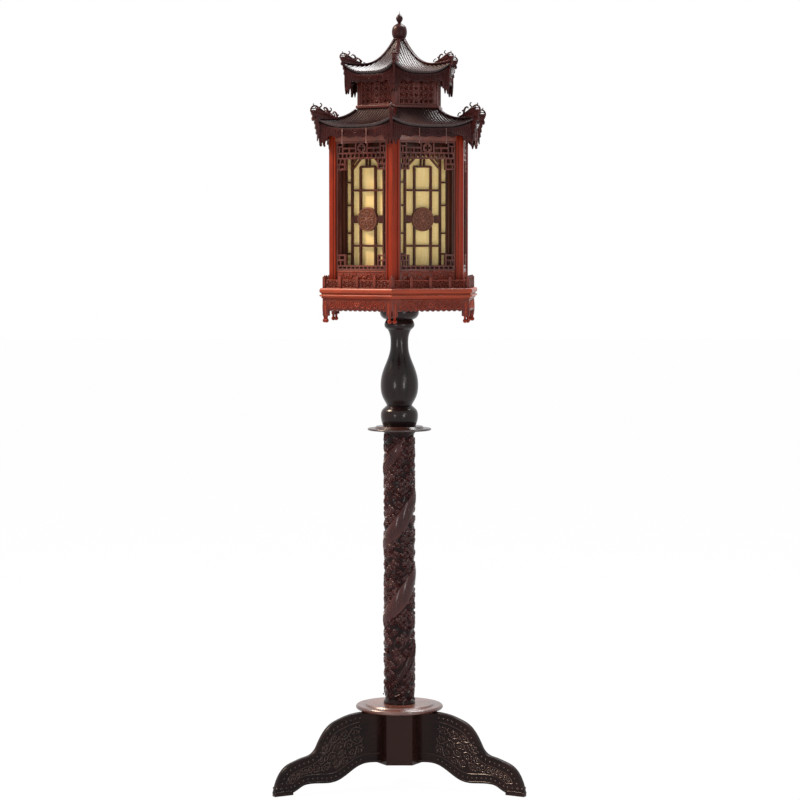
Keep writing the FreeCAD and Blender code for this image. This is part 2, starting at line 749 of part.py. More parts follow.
def post_groove(side):
    """Square cutter for the groove near the inner edge of one post face."""
    along = POST_FACE - POST_GROOVE_INSET
    x = BODY_CORNER_R - along / 2
    y = side * along * COS30
    box = Part.makeBox(POST_GROOVE * 2, POST_GROOVE * 2, BODY_HEIGHT,
                       V(-POST_GROOVE, -POST_GROOVE, 0))
    box.rotate(ORIGIN, UP, 45)
    box.translate(V(x, y, DECK_Z))
    return box


def clear_half():
    """Half the clear width between two outer posts."""
    return BODY_CORNER_R / 2 - POST_FACE


def skirt_panel():
    """Board behind the railing, below the fretwork."""
    half = clear_half()
    outline = [(-half, DECK_Z), (half, DECK_Z), (half, FRET_Z), (-half, FRET_Z)]
    return upright_plate(outline, BODY_APOTHEM - PANEL_SETBACK, SKIRT_THICKNESS)


def beam():
    """Rail between the heads of two outer posts."""
    half = clear_half()
    outline = [(-half, BEAM_Z), (half, BEAM_Z), (half, BODY_TOP_Z), (-half, BODY_TOP_Z)]
    return upright_plate(outline, BODY_APOTHEM, BEAM_THICKNESS)


def fret_panel():
    """Outer fretwork: a frieze with an octagon, side drops, and a stepped foot band."""
    half = clear_half()
    z0 = FRET_Z
    z1 = BEAM_Z
    frieze = z1 - FRIEZE_HEIGHT
    brick = frieze - BRICK_HEIGHT
    drop = z1 - SIDE_DROP
    inner = half - SIDE_WIDTH + BAR / 2
    middle = (frieze + z1 - FRET_BORDER) / 2
    side_middle = (inner + half) / 2
    band = z0 + FOOT_BAND
    step = z0 + FOOT_STEP
    gate = OCTAGON_R + BAR
    post = half - SIDE_WIDTH * 0.7
    shared = [
        bar_across(-half, half, z1 - FRET_BORDER / 2, FRET_BORDER),
        bar_across(-half, half, z0 + FRET_BORDER / 2, FRET_BORDER),
        bar_across(-half, half, frieze, BAR),
        bar_across(-half, half, brick, BAR),
        bar_across(-half, half, band, BAR),
        regular_outline(0, middle, OCTAGON_R, 8, 22.5),
    ]
    sides = [
        bar_upright(half - FRET_BORDER / 2, z0, z1, FRET_BORDER),
        bar_upright(gate, frieze, z1, BAR),
        bar_upright(post, frieze, z1, BAR),
        bar_across(gate, post, middle, BAR),
        bar_upright((gate + post) / 2, frieze, middle, BAR * 0.8),
        bar_across(post, half, middle + BAR, BAR * 0.8),
        bar_upright((post + half) / 2, frieze, middle + BAR, BAR * 0.8),
        bar_upright(inner, drop, brick, BAR),
        bar_across(inner, half, drop + BAR / 2, BAR),
        bar_across(inner, half, (drop + brick) / 2, BAR),
        bar_upright(side_middle, (drop + brick) / 2, brick, BAR * 0.8),
        bar_upright(side_middle + BAR, drop, (drop + brick) / 2, BAR * 0.8),
        bar_upright(inner, band, step, BAR),
        bar_across(inner, half, step - BAR / 2, BAR),
        bar_across(inner, half, (band + step) / 2, BAR),
        bar_upright(side_middle, band, (band + step) / 2, BAR * 0.8),
        bar_upright(side_middle + BAR, (band + step) / 2, step, BAR * 0.8),
    ]
    pitch = BRICK_HEIGHT
    for k in range(int(half / pitch)):
        sides.append(bar_upright((k + 0.5) * pitch, brick, frieze, BAR * 0.8))
        sides.append(bar_upright((k + 0.5) * pitch, z0, band, BAR * 0.8))
    arm = OCTAGON_R * 0.6
    slot = OCTAGON_R * 0.2
    plus = [bar_across(-arm, arm, middle, slot * 2), bar_upright(0, middle - arm, middle + arm, slot * 2)]
    return fretwork(shared + mirrored(sides), plus, BODY_APOTHEM - PANEL_SETBACK, FRET_THICKNESS)


def lattice_screen():
    """Inner lattice screen with a round medallion, solid at its foot and head."""
    half = SCREEN_APOTHEM * TAN30 - SCREEN_POST_FACE
    z0 = DECK_Z
    z1 = CEILING_Z
    sill = z0 + SCREEN_SILL
    head = z1 - SCREEN_HEAD
    shoulder = head - SCREEN_CHAMFER
    center = z0 + MEDALLION_HEIGHT
    high = center + (shoulder - center) * 0.55
    low = center - (center - sill) * 0.56
    outer = SCREEN_OUTER_Y
    inner = SCREEN_INNER_Y
    edge = half - SCREEN_BAR / 2
    slope = SCREEN_BAR * 1.4
    shared = [
        [(-half, z0), (half, z0), (half, sill), (-half, sill)],
        [(-half, head), (half, head), (half, z1), (-half, z1)],
        bar_across(-inner, inner, shoulder, SCREEN_BAR),
        bar_across(-outer, outer, high, SCREEN_BAR),
        bar_across(-outer, outer, low, SCREEN_BAR),
    ]
    sides = [
        bar_upright(edge, z0, z1, SCREEN_BAR),
        bar_upright(outer, sill, shoulder, SCREEN_BAR),
        bar_upright(outer, shoulder, head, SCREEN_BAR),
        bar_upright(inner, sill, center - MEDALLION_R * 0.6, SCREEN_BAR),
        bar_upright(inner, center + MEDALLION_R * 0.6, shoulder, SCREEN_BAR),
        bar_upright(slope * 0.7, shoulder, head, SCREEN_BAR * 0.7),
        bar_slanted((outer, shoulder - slope), (inner - slope, head), SCREEN_BAR * 0.8),
        bar_slanted((outer, shoulder + slope), (inner + slope, head), SCREEN_BAR * 0.8),
        regular_outline((outer + MEDALLION_R) / 2, center, (outer - MEDALLION_R) / 2 + 1.5, 8, 22.5),
    ]
    rungs = (high + SCREEN_BAR * 4, center + MEDALLION_R * 1.15, center - MEDALLION_R * 1.15,
             low - SCREEN_BAR * 4)
    sides += [bar_across(outer, edge, z, SCREEN_BAR * 0.8) for z in rungs]
    round_plate = regular_outline(0, center, MEDALLION_R, 32)
    holes = []
    for k in range(ROSETTE_PETALS):
        angle = math.radians(360 / ROSETTE_PETALS * (k + 0.5))
        far = MEDALLION_R * 0.62
        holes.append(regular_outline(far * math.cos(angle), center + far * math.sin(angle),
                                     MEDALLION_R * 0.17, 10))
    return fretwork(shared + mirrored(sides) + [round_plate], holes, SCREEN_APOTHEM, SCREEN_THICKNESS)


def screen_post():
    """Corner post between two inner screens."""
    plan = corner_plan(SCREEN_APOTHEM / COS30, SCREEN_POST_FACE, SCREEN_POST_DEPTH)
    return prism(plan, DECK_Z, CEILING_Z)


def ceiling_ring():
    """Ring board that holds the heads of the screens, between the beams."""
    return hex_ring(CEILING_OPENING, BODY_APOTHEM - BEAM_THICKNESS, CEILING_Z,
                    CEILING_Z + CEILING_THICKNESS).cut(post_notches())


def post_notches():
    """Room for the outer posts at the corners of the ceiling ring."""
    plan = corner_plan(BODY_CORNER_R, POST_FACE, POST_DEPTH)
    post = prism(plan, CEILING_Z - SLIP, CEILING_Z + CEILING_THICKNESS + SLIP)
    return group([turn(post, 30 + 60 * k) for k in range(6)])


def lining_sheet():
    """Fabric stretched over the back of one screen."""
    half = SCREEN_APOTHEM * TAN30 - SCREEN_POST_FACE - LINING_MARGIN
    low = DECK_Z + LINING_MARGIN
    high = CEILING_Z - LINING_MARGIN
    outline = [(-half, low), (half, low), (half, high), (-half, high)]
    return upright_plate(outline, SCREEN_APOTHEM - SCREEN_THICKNESS - SLIP, LINING_THICKNESS)


# ================================================================ roof

def sweep(distance, inner, inner_z, low, low_z, tip, tip_z):
    """Height of a curved roof line that falls steeply, levels out and lifts at its tip."""
    if distance <= low:
        return low_z + (inner_z - low_z) * ((low - distance) / (low - inner)) ** SWEEP_POWER
    return low_z + (tip_z - low_z) * ((distance - low) / (tip - low)) ** 2


class Roof:
    """One six-sided roof, described by the sweep of its hips and of the middle of its faces."""

    def __init__(self, base_z, inner, rise, tip_r, hip_low_r, hip_low, hip_tip, mid_low):
        self.inner = inner
        self.outer = tip_r * COS30
        self.tip_r = tip_r
        self.inner_z = base_z + rise
        self.hip_low_r = hip_low_r
        self.hip_low_z = base_z + hip_low
        self.hip_tip_z = base_z + hip_tip
        self.mid_low_z = base_z + mid_low

    def hip(self, r):
        """Top of the tiles along a hip, r from the axis."""
        return sweep(r, self.inner / COS30, self.inner_z, self.hip_low_r, self.hip_low_z,
                     self.tip_r, self.hip_tip_z)

    def middle(self, apothem):
        """Top of the tiles down the middle of a face."""
        low = self.outer * 1.03
        return sweep(apothem, self.inner, self.inner_z, low, self.mid_low_z, low * 1.1,
                     self.mid_low_z)

    def point(self, apothem, share):
        """Point on top of the tiles; share runs from -1 to 1 across the face."""
        height = self.middle(apothem)
        height += (self.hip(apothem / COS30) - height) * abs(share) ** EAVE_LIFT_POWER
        down = (apothem - self.inner) / (self.outer - self.inner)
        x = apothem * (1 - EAVE_HOLLOW * (1 - share ** 2) * down)
        return V(x, x * TAN30 * share, height)

    def underside(self, x, share):
        """Height of the underside of the tiles over a plan point of a face."""
        apothem = x
        for _ in range(6):
            apothem += x - self.point(apothem, share).x
        return self.point(apothem, share).z - TILE_THICKNESS

    def deck(self):
        """One tiled face of the roof."""
        rows = 13
        columns = 13
        grid = []
        for i in range(rows):
            apothem = self.inner + (self.outer - self.inner) * i / (rows - 1)
            grid.append([self.point(apothem, -1 + 2 * j / (columns - 1)) for j in range(columns)])
        surface = Part.BSplineSurface()
        surface.interpolate(grid)
        return surface.toShape().extrude(V(0, 0, -TILE_THICKNESS))

    def hip_strip(self, r0, r1, lower, upper, width):
        """Board standing in a corner's plane between two heights given as functions of r."""
        count = 12
        radii = [r0 + (r1 - r0) * k / count for k in range(count + 1)]
        low = [(r, lower(r)) for r in radii]
        high = [(r, upper(r)) for r in radii]
        edges = [curve(low), line(low[-1], high[-1]), curve(high), line(high[0], low[0])]
        strip = Part.Face(Part.Wire(edges)).extrude(V(0, width, 0))
        strip.translate(V(0, -width / 2, 0))
        return strip

    def ridge(self, r0):
        """Smooth ridge over one hip, from r0 to the tip."""
        return self.hip_strip(r0, self.tip_r, lambda r: self.hip(r) + SLIP,
                              lambda r: self.hip(r) + RIDGE_HEIGHT, RIDGE_WIDTH)

    def beside_hip(self, r, offset):
        """Height of the underside of the tiles at a small distance to one side of a hip."""
        x = r * COS30 + offset / 2
        across = r / 2 - offset * COS30
        return self.underside(x, across / (x * TAN30))

    def rafter(self, r0, r1, foot_z):
        """Hip rafter under the tiles, standing on foot_z."""
        return self.hip_strip(r0, r1, lambda r: foot_z,
                              lambda r: self.beside_hip(r, RAFTER_THICKNESS / 2) - SLIP * 2,
                              RAFTER_THICKNESS)

    def valance(self, depth, wing_drop):
        """Carved board under one eave, with a pointed wing at each end."""
        apothem = self.outer - VALANCE_SETBACK
        half = apothem * TAN30
        flat = half * 0.52
        bottom = self.underside(apothem, 0) - depth
        wing = self.underside(apothem, 1) - wing_drop - SLIP
        rows = 24
        top = []
        for k in range(rows + 1):
            share = 1 - 2 * k / rows
            roof = min(self.underside(apothem, share), self.underside(apothem - VALANCE_THICKNESS, share))
            top.append((half * share, roof - SLIP))
        end = [(-half, wing + 15), (-half * 0.967, wing + 2), (-half * 0.93, wing + 14),
               (-half * 0.88, wing), (-half * 0.83, wing + 16), (-half * 0.80, wing + 12),
               (-half * 0.75, bottom + 3), (-half * 0.66, bottom + 5), (-flat, bottom - 1),
               (-half * 0.36, bottom + 4), (-half * 0.18, bottom - 1), (0, bottom + 3)]
        other = [(-y, z) for y, z in reversed(end[:-1])]
        board = upright_plate(top + end + other, apothem, VALANCE_THICKNESS)
        reach = self.tip_r * 2
        return board.common(wedge(wing - depth, self.inner_z, reach))

    def head(self, length, height, thickness, drop):
        """Scrolled beast head that ends a ridge, with a leaf that hangs down the corner below it."""
        root = self.tip_r - length * 0.76
        base = self.hip(root) + RIDGE_HEIGHT + SLIP
        outline = [(0.0, 0.0), (0.04, 0.22), (0.14, 0.42), (0.06, 0.62), (0.16, 0.74), (0.28, 0.58),
                   (0.36, 0.66), (0.42, 1.0), (0.52, 0.97), (0.50, 0.74), (0.64, 0.76), (0.70, 1.0),
                   (0.80, 0.98), (0.80, 0.72), (0.93, 0.58), (1.0, 0.30), (1.0, 0.06), (0.96, -0.16)]
        points = [V(root + length * u, 0, base + height * w) for u, w in outline]
        behind = self.tip_r - VALANCE_SETBACK / COS30 + SLIP * 2
        reach = self.tip_r + length * 0.16 - behind
        under = self.beside_hip(behind, thickness / 2) - SLIP * 2
        leaf = [(0.88, 0.10), (0.55, 0.36), (0.62, 0.44), (0.34, 0.62), (0.40, 0.70), (0.12, 1.0),
                (0.0, 0.80), (0.0, 0.0)]
        points += [V(behind + reach * u, 0, under - drop * w) for u, w in leaf]
        points += [V(self.tip_r + SLIP, 0, under), V(self.tip_r + SLIP, 0, self.hip_tip_z)]
        seat = [self.tip_r + (root - self.tip_r) * k / 4 for k in range(4)]
        points += [V(r, 0, self.hip(r) + RIDGE_HEIGHT + SLIP) for r in seat]
        solid = Part.Face(polygon_wire(points)).extrude(V(0, thickness, 0))
        solid.translate(V(0, -thickness / 2, 0))
        return solid


LOWER = Roof(BODY_TOP_Z, LOWER_INNER, LOWER_RISE, LOWER_TIP_R, LOWER_HIP_LOW_R, LOWER_HIP_LOW,
             LOWER_HIP_TIP, LOWER_MID_LOW)
ROOF_FRAME_TOP_Z = BODY_TOP_Z + ROOF_FRAME_THICKNESS
UPPER_BASE_Z = DRUM_TOP_Z + UPPER_FOOT
UPPER = Roof(UPPER_BASE_Z, UPPER_INNER, UPPER_RISE, UPPER_TIP_R, UPPER_HIP_LOW_R, UPPER_HIP_LOW,
             UPPER_HIP_TIP, UPPER_MID_LOW)
UPPER_RING_TOP_Z = UPPER.underside(DRUM_APOTHEM, 0) - SLIP


def roof_frame():
    """Ring that stands on the posts, with a rim that locates it inside the beams."""
    outer = frame_outer()
    ring = hex_ring(outer - ROOF_FRAME_WIDTH, outer, BODY_TOP_Z, ROOF_FRAME_TOP_Z)
    post_back = BODY_CORNER_R - POST_FACE / 2 - POST_DEPTH * COS30
    rim_outer = min(BODY_APOTHEM - BEAM_THICKNESS, post_back * COS30) - LOCATING_RIM_PLAY
    rim = hex_ring(rim_outer - LOCATING_RIM_WIDTH, rim_outer, BODY_TOP_Z - LOCATING_RIM_DEPTH, BODY_TOP_Z)
    return ring.fuse(rim)


def frame_outer():
    """Apothem at which the roof frame just meets the underside of the tiles."""
    outer = BODY_APOTHEM
    while LOWER.underside(outer, 0) < ROOF_FRAME_TOP_Z + SLIP:
        outer -= 1.0
    return outer


def drum_ledge():
    """Moulded ledge at the foot of the drum, on the inner edge of the lower tiles."""
    outer = DRUM_LEDGE_R * COS30
    inner = DRUM_APOTHEM - DRUM_RING_WIDTH
    return hex_ring(inner, outer, LEDGE_Z + SLIP, DRUM_Z)


def drum_ring():
    """Ring on top of the drum that carries the upper roof."""
    return hex_ring(DRUM_APOTHEM - DRUM_RING_WIDTH, DRUM_APOTHEM, DRUM_TOP_Z, UPPER_RING_TOP_Z)


def drum_post():
    """Corner post of the drum."""
    return prism(corner_plan(DRUM_CORNER_R, DRUM_POST_FACE, DRUM_POST_DEPTH), DRUM_Z, DRUM_TOP_Z)


def drum_panel():
    """Pierced panel between two posts of the drum."""
    half = DRUM_CORNER_R / 2 - DRUM_POST_FACE
    outline = [(-half, DRUM_Z), (half, DRUM_Z), (half, DRUM_TOP_Z), (-half, DRUM_TOP_Z)]
    holes = []
    for i in range(DRUM_HOLE_COLUMNS):
        for j in range(DRUM_HOLE_ROWS):
            y = -half + 2 * half * (i + 0.5) / DRUM_HOLE_COLUMNS
            z = DRUM_Z + DRUM_HEIGHT * (j + 0.5) / DRUM_HOLE_ROWS
            holes.append(regular_outline(y, z, DRUM_HOLE_R, 8, 22.5))
    return fretwork([outline], holes, DRUM_APOTHEM - DRUM_PANEL_SETBACK, DRUM_PANEL_THICKNESS)


def apex_block():
    """Block that closes the top of the upper roof and takes the finial's tenon."""
    top = UPPER.inner_z
    block = prism(hexagon(UPPER_INNER), top - APEX_BLOCK_HEIGHT, top)
    return block.cut(cylinder(FINIAL_TENON_R + SLIP, top - APEX_BLOCK_HEIGHT, top))


def collar():
    """Turned collar under the finial."""
    z = UPPER.inner_z
    h = COLLAR_THICKNESS
    outline = [
        ("line", [(COLLAR_R * 0.82, z), (COLLAR_R * 0.86, z + h * 0.3)]),
        ("curve", [(COLLAR_R * 0.86, z + h * 0.3), (COLLAR_R, z + h * 0.65), (COLLAR_R * 0.88, z + h)]),
    ]
    return turned(outline, FINIAL_TENON_R + SLIP)


def finial():
    """Double-gourd finial with its tenon."""
    z = UPPER.inner_z + COLLAR_THICKNESS
    h = FINIAL_HEIGHT
    r = FINIAL_BALL_R
    stretches = [
        curve([(r * 0.77, z), (r * 0.95, z + h * 0.11), (r, z + h * 0.27), (r * 0.80, z + h * 0.45),
               (r * 0.34, z + h * 0.545), (r * 0.20, z + h * 0.57)]),
        curve([(r * 0.20, z + h * 0.57), (r * 0.30, z + h * 0.62), (r * 0.456, z + h * 0.73),
               (r * 0.30, z + h * 0.84), (r * 0.10, z + h * 0.90), (r * 0.04, z + h)]),
        line((r * 0.04, z + h), (0, z + h)),
        line((0, z + h), (0, z)),
        line((0, z), (r * 0.77, z)),
    ]
    bulb = Part.Face(Part.Wire(stretches)).revolve(ORIGIN, UP, 360)
    return bulb.fuse(cylinder(FINIAL_TENON_R, z - COLLAR_THICKNESS - FINIAL_TENON_LENGTH, z))


# ================================================================ the whole lamp

def stand_pieces():
    """Name and shape of every piece of the stand and of the lamp on it."""
    pieces = {}
    for name, direction in LEG_DIRECTIONS.items():
        pieces[name] = turn(leg(), direction)
    pieces["leg_soles"] = group(turn(sole(), d) for d in LEG_DIRECTIONS.values())
    pieces["leg_dowels"] = group(turn(rod, d) for d in LEG_DIRECTIONS.values()
                                 for rod in dowels(DOWEL_R).Solids)
    pieces["leg_hub"] = leg_hub()
    pieces["base_disc"] = stepped_disc(BASE_Z, BASE_DISC_R, BASE_DISC_THICKNESS, BASE_STEP_R,
                                       BASE_STEP_THICKNESS)
    pieces["carved_column"] = column()
    pieces["cap_disc"] = stepped_disc(CAP_Z, CAP_DISC_R, CAP_DISC_THICKNESS, CAP_STEP_R,
                                      CAP_STEP_THICKNESS)
    pieces["baluster"] = baluster()
    pieces["lantern_cup"] = lantern_cup()
    pieces["threaded_tube"] = threaded_tube()
    pieces["tube_nuts"] = group([nut(lower_washer_z() - NUT_THICKNESS), nut(UPPER_NUT_Z)])
    pieces["tube_washers"] = group([washer(lower_washer_z()), washer(DECK_Z)])
    pieces["cable_grommet"] = cable_grommet()
    pieces["lampholder_cap"] = lampholder_cap()
    pieces["lampholder_shell"] = lampholder_shell()
    pieces["bulb_cap"] = bulb_cap()
    pieces["bulb_glass"] = bulb_glass()
    return pieces


def lantern_pieces():
    """Name and shape of every piece of the lantern's body."""
    pieces = {"floor_board": turn(floor_board(), LANTERN_TURN)}
    pieces["tray_rails"] = group(on_faces(tray_rail()))
    pieces["aprons"] = group(on_faces(apron()))
    pieces["apron_drops"] = group(d for side in (-1, 1) for d in on_faces(apron_drop(side)))
    pieces["railing_panels"] = group(b for bay in railing_panel() for b in on_faces(bay))
    pieces["railing_posts"] = group(railing_posts())
    pieces["body_posts"] = group(on_corners(body_post()))
    pieces["skirt_panels"] = group(on_faces(skirt_panel()))
    for k, panel in enumerate(on_faces(fret_panel())):
        pieces[f"fret_panel_{k + 1}"] = panel
    for k, screen in enumerate(on_faces(lattice_screen())):
        pieces[f"lattice_screen_{k + 1}"] = screen
    pieces["screen_posts"] = group(on_corners(screen_post()))
    pieces["top_beams"] = group(on_faces(beam()))
    pieces["ceiling_ring"] = turn(ceiling_ring(), LANTERN_TURN)
    pieces["fabric_lining"] = group(on_faces(lining_sheet()))
    return pieces


def roof_pieces():
    """Name and shape of every piece that lifts off with the roof."""
    pieces = {"roof_frame": turn(roof_frame(), LANTERN_TURN)}
    pieces["lower_roof"] = group(on_faces(LOWER.deck()))
    pieces["lower_ridges"] = group(on_corners(LOWER.ridge(DRUM_LEDGE_R + SLIP)))
    pieces["lower_valances"] = group(on_faces(LOWER.valance(LOWER_VALANCE_DEPTH, LOWER_WING_DROP)))
    pieces["lower_heads"] = group(on_corners(
        LOWER.head(LOWER_HEAD_LENGTH, LOWER_HEAD_HEIGHT, HEAD_THICKNESS, LOWER_WING_DROP)))
    lower_rafter = LOWER.rafter(LOWER_INNER / COS30 + RAFTER_THICKNESS, BODY_CORNER_R, ROOF_FRAME_TOP_Z)
    upper_rafter = UPPER.rafter(UPPER_INNER / COS30 + SLIP, DRUM_CORNER_R - SLIP, UPPER_RING_TOP_Z)
    pieces["hip_rafters"] = group(on_corners(lower_rafter) + on_corners(upper_rafter))
    pieces["drum_ledge"] = turn(drum_ledge(), LANTERN_TURN)
    pieces["drum_posts"] = group(on_corners(drum_post()))
    pieces["drum_panels"] = group(on_faces(drum_panel()))
    pieces["drum_ring"] = turn(drum_ring(), LANTERN_TURN)
    pieces["upper_roof"] = group(on_faces(UPPER.deck()))
    pieces["upper_ridges"] = group(on_corners(UPPER.ridge(COLLAR_R + SLIP)))
    pieces["upper_valances"] = group(on_faces(UPPER.valance(UPPER_VALANCE_DEPTH, UPPER_WING_DROP)))
    pieces["upper_heads"] = group(on_corners(
        UPPER.head(UPPER_HEAD_LENGTH, UPPER_HEAD_HEIGHT, HEAD_THICKNESS, UPPER_WING_DROP)))
    pieces["apex_block"] = turn(apex_block(), LANTERN_TURN)
    pieces["roof_collar"] = collar()
    pieces["finial"] = finial()
    return pieces


def main():
    """Write one file for each named piece."""
    os.makedirs("parts", exist_ok=True)
    for pieces in (stand_pieces(), lantern_pieces(), roof_pieces()):
        for name, shape in pieces.items():
            shape.exportStep(f"parts/{name}.step")


main()
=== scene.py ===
"""Looks of a carved rosewood palace lantern on a floor stand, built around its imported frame.

The frame holds the turned and joined woodwork. This script gives every piece its finish and adds
what a carver adds: scrolls, beading, tile ribs, beast heads, tracery and the silk lining. Sizes are
millimetres, in the frame's own axes, and become metres when a mesh is made.
"""

import logging
import math
import random
from dataclasses import dataclass, field, replace
from enum import Enum
from typing import Iterable, Sequence

import bmesh
import bpy
import numpy as np
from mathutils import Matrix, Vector
from mathutils.bvhtree import BVHTree


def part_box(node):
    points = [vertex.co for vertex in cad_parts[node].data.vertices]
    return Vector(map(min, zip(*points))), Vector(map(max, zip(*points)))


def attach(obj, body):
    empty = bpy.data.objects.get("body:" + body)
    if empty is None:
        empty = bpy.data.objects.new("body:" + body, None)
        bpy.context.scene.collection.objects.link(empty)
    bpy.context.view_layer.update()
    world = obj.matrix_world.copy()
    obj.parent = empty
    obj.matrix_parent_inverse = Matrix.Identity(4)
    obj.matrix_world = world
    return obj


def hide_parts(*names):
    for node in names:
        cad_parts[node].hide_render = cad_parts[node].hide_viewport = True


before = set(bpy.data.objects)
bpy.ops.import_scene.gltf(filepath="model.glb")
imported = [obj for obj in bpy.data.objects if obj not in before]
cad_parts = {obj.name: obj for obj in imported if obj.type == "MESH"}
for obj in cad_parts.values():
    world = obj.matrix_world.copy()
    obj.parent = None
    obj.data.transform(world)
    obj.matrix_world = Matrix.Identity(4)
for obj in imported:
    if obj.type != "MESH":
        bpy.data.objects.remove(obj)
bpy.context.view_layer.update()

log = logging.getLogger("palace_lantern")

MM = 0.001
COS30 = math.cos(math.radians(30))
TAN30 = math.tan(math.radians(30))
LANTERN_TURN = -5.0
FACE_ANGLES = [LANTERN_TURN - 60 + 60 * k for k in range(6)]
CORNER_ANGLES = [LANTERN_TURN - 90 + 60 * k for k in range(6)]
LEG_ANGLES = {"leg_right": -30.0, "leg_rear": 90.0, "leg_left": 210.0}


# ================================================================ finishes

def linear(hex_value: str) -> tuple[float, float, float, float]:
    """Turn an sRGB hex colour into Blender's linear one.

    Args:
        hex_value: Six digits, such as "8A3B2C".

    Returns:
        Linear red, green, blue and an alpha of 1.
    """
    def channel(start: int) -> float:
        """Linear value of the two digits from start on."""
        value = int(hex_value[start:start + 2], 16) / 255
        return value / 12.92 if value <= 0.04045 else ((value + 0.055) / 1.055) ** 2.4

    return channel(0), channel(2), channel(4), 1.0


def add(tree: bpy.types.NodeTree, kind: str, inputs: dict | None = None,
        **settings: object) -> bpy.types.Node:
    """Add one shader node with its settings and links.

    Args:
        tree: Node tree of the material.
        kind: Blender's name of the node.
        inputs: Values or sockets for the node's inputs, by name or number.
        **settings: Attributes of the node.

    Returns:
        The new node.
    """
    node = tree.nodes.new(kind)
    for key, value in settings.items():
        setattr(node, key, value)
    for key, value in (inputs or {}).items():
        socket = node.inputs[key]
        if isinstance(value, bpy.types.NodeSocket):
            tree.links.new(value, socket)
        else:
            socket.default_value = value
    return node


def started(name: str) -> tuple[bpy.types.Material, bpy.types.NodeTree, bpy.types.Node]:
    """Start a material.

    Args:
        name: Of the material.

    Returns:
        The material, its node tree and its main shader.
    """
    material = bpy.data.materials.new(name)
    material.use_nodes = True
    return material, material.node_tree, material.node_tree.nodes["Principled BSDF"]


def placed(tree: bpy.types.NodeTree) -> bpy.types.NodeSocket:
    """Coordinates of the shaded piece, in metres."""
    return add(tree, "ShaderNodeTexCoord").outputs["Object"]


def noise(tree: bpy.types.NodeTree, place: bpy.types.NodeSocket, size: float, detail: float,
          **more: float) -> bpy.types.NodeSocket:
    """Noise in patches of about one size.

    Args:
        tree: Node tree of the material.
        place: Coordinates in metres.
        size: Of the patches in millimetres.
        detail: How many finer layers it has.
        **more: Other inputs of the node, by name.

    Returns:
        Socket with the noise.
    """
    return add(tree, "ShaderNodeTexNoise", {
        "Vector": place, "Scale": 1000 / size, "Detail": detail, **more}).outputs[0]


def ramp(tree: bpy.types.NodeTree, value: bpy.types.NodeSocket, start: float, end: float,
         low: float = 0.0, high: float = 1.0) -> bpy.types.NodeSocket:
    """Stretch one range of values to another.

    Args:
        tree: Node tree of the material.
        value: To be stretched.
        start: Value that becomes low.
        end: Value that becomes high.
        low: Least result.
        high: Greatest result.

    Returns:
        Socket with the result.
    """
    return add(tree, "ShaderNodeMapRange", {0: value, 1: start, 2: end, 3: low, 4: high}).outputs[0]


def blend(tree: bpy.types.NodeTree, share: bpy.types.NodeSocket, first: bpy.types.NodeSocket | str,
          second: str) -> bpy.types.NodeSocket:
    """Mix two colours.

    Args:
        tree: Node tree of the material.
        share: Of the second colour.
        first: Socket or hex digits of one colour.
        second: Hex digits of the other.

    Returns:
        Socket with the mixed colour.
    """
    ground = linear(first) if isinstance(first, str) else first
    return add(tree, "ShaderNodeMix", {0: share, 6: ground, 7: linear(second)}, data_type="RGBA").outputs[2]


def calculated(tree: bpy.types.NodeTree, operation: str, first: bpy.types.NodeSocket,
               second: bpy.types.NodeSocket | float) -> bpy.types.NodeSocket:
    """Result of one operation on two values.

    Args:
        tree: Node tree of the material.
        operation: Blender's name of it.
        first: One value.
        second: The other.

    Returns:
        Socket with the result.
    """
    return add(tree, "ShaderNodeMath", {0: first, 1: second}, operation=operation).outputs[0]


def seen_straight(tree: bpy.types.NodeTree) -> bpy.types.NodeSocket:
    """1 where the eye sees a thing itself, in a reflection or through glass, otherwise 0."""
    rays = add(tree, "ShaderNodeLightPath").outputs
    direct = calculated(tree, "MAXIMUM", rays["Is Camera Ray"], rays["Is Glossy Ray"])
    return calculated(tree, "MAXIMUM", direct, rays["Is Transmission Ray"])


def relief(tree: bpy.types.NodeTree, shader: bpy.types.Node, height: bpy.types.NodeSocket,
           strength: float, depth: float) -> bpy.types.NodeSocket:
    """Give a surface a fine relief.

    Args:
        tree: Node tree of the material.
        shader: The material's main shader.
        height: Relief as a socket.
        strength: How much of it shows.
        depth: Of the relief in millimetres.

    Returns:
        Socket with the bent normals.
    """
    bump = add(tree, "ShaderNodeBump", {
        "Height": height, "Strength": strength, "Distance": depth * MM}).outputs[0]
    tree.links.new(bump, shader.inputs["Normal"])
    return bump


class Grain(Enum):
    """Which way the fibres of a piece of wood run."""

    UPRIGHT = "upright"
    AROUND = "around"
    OUTWARD = "outward"


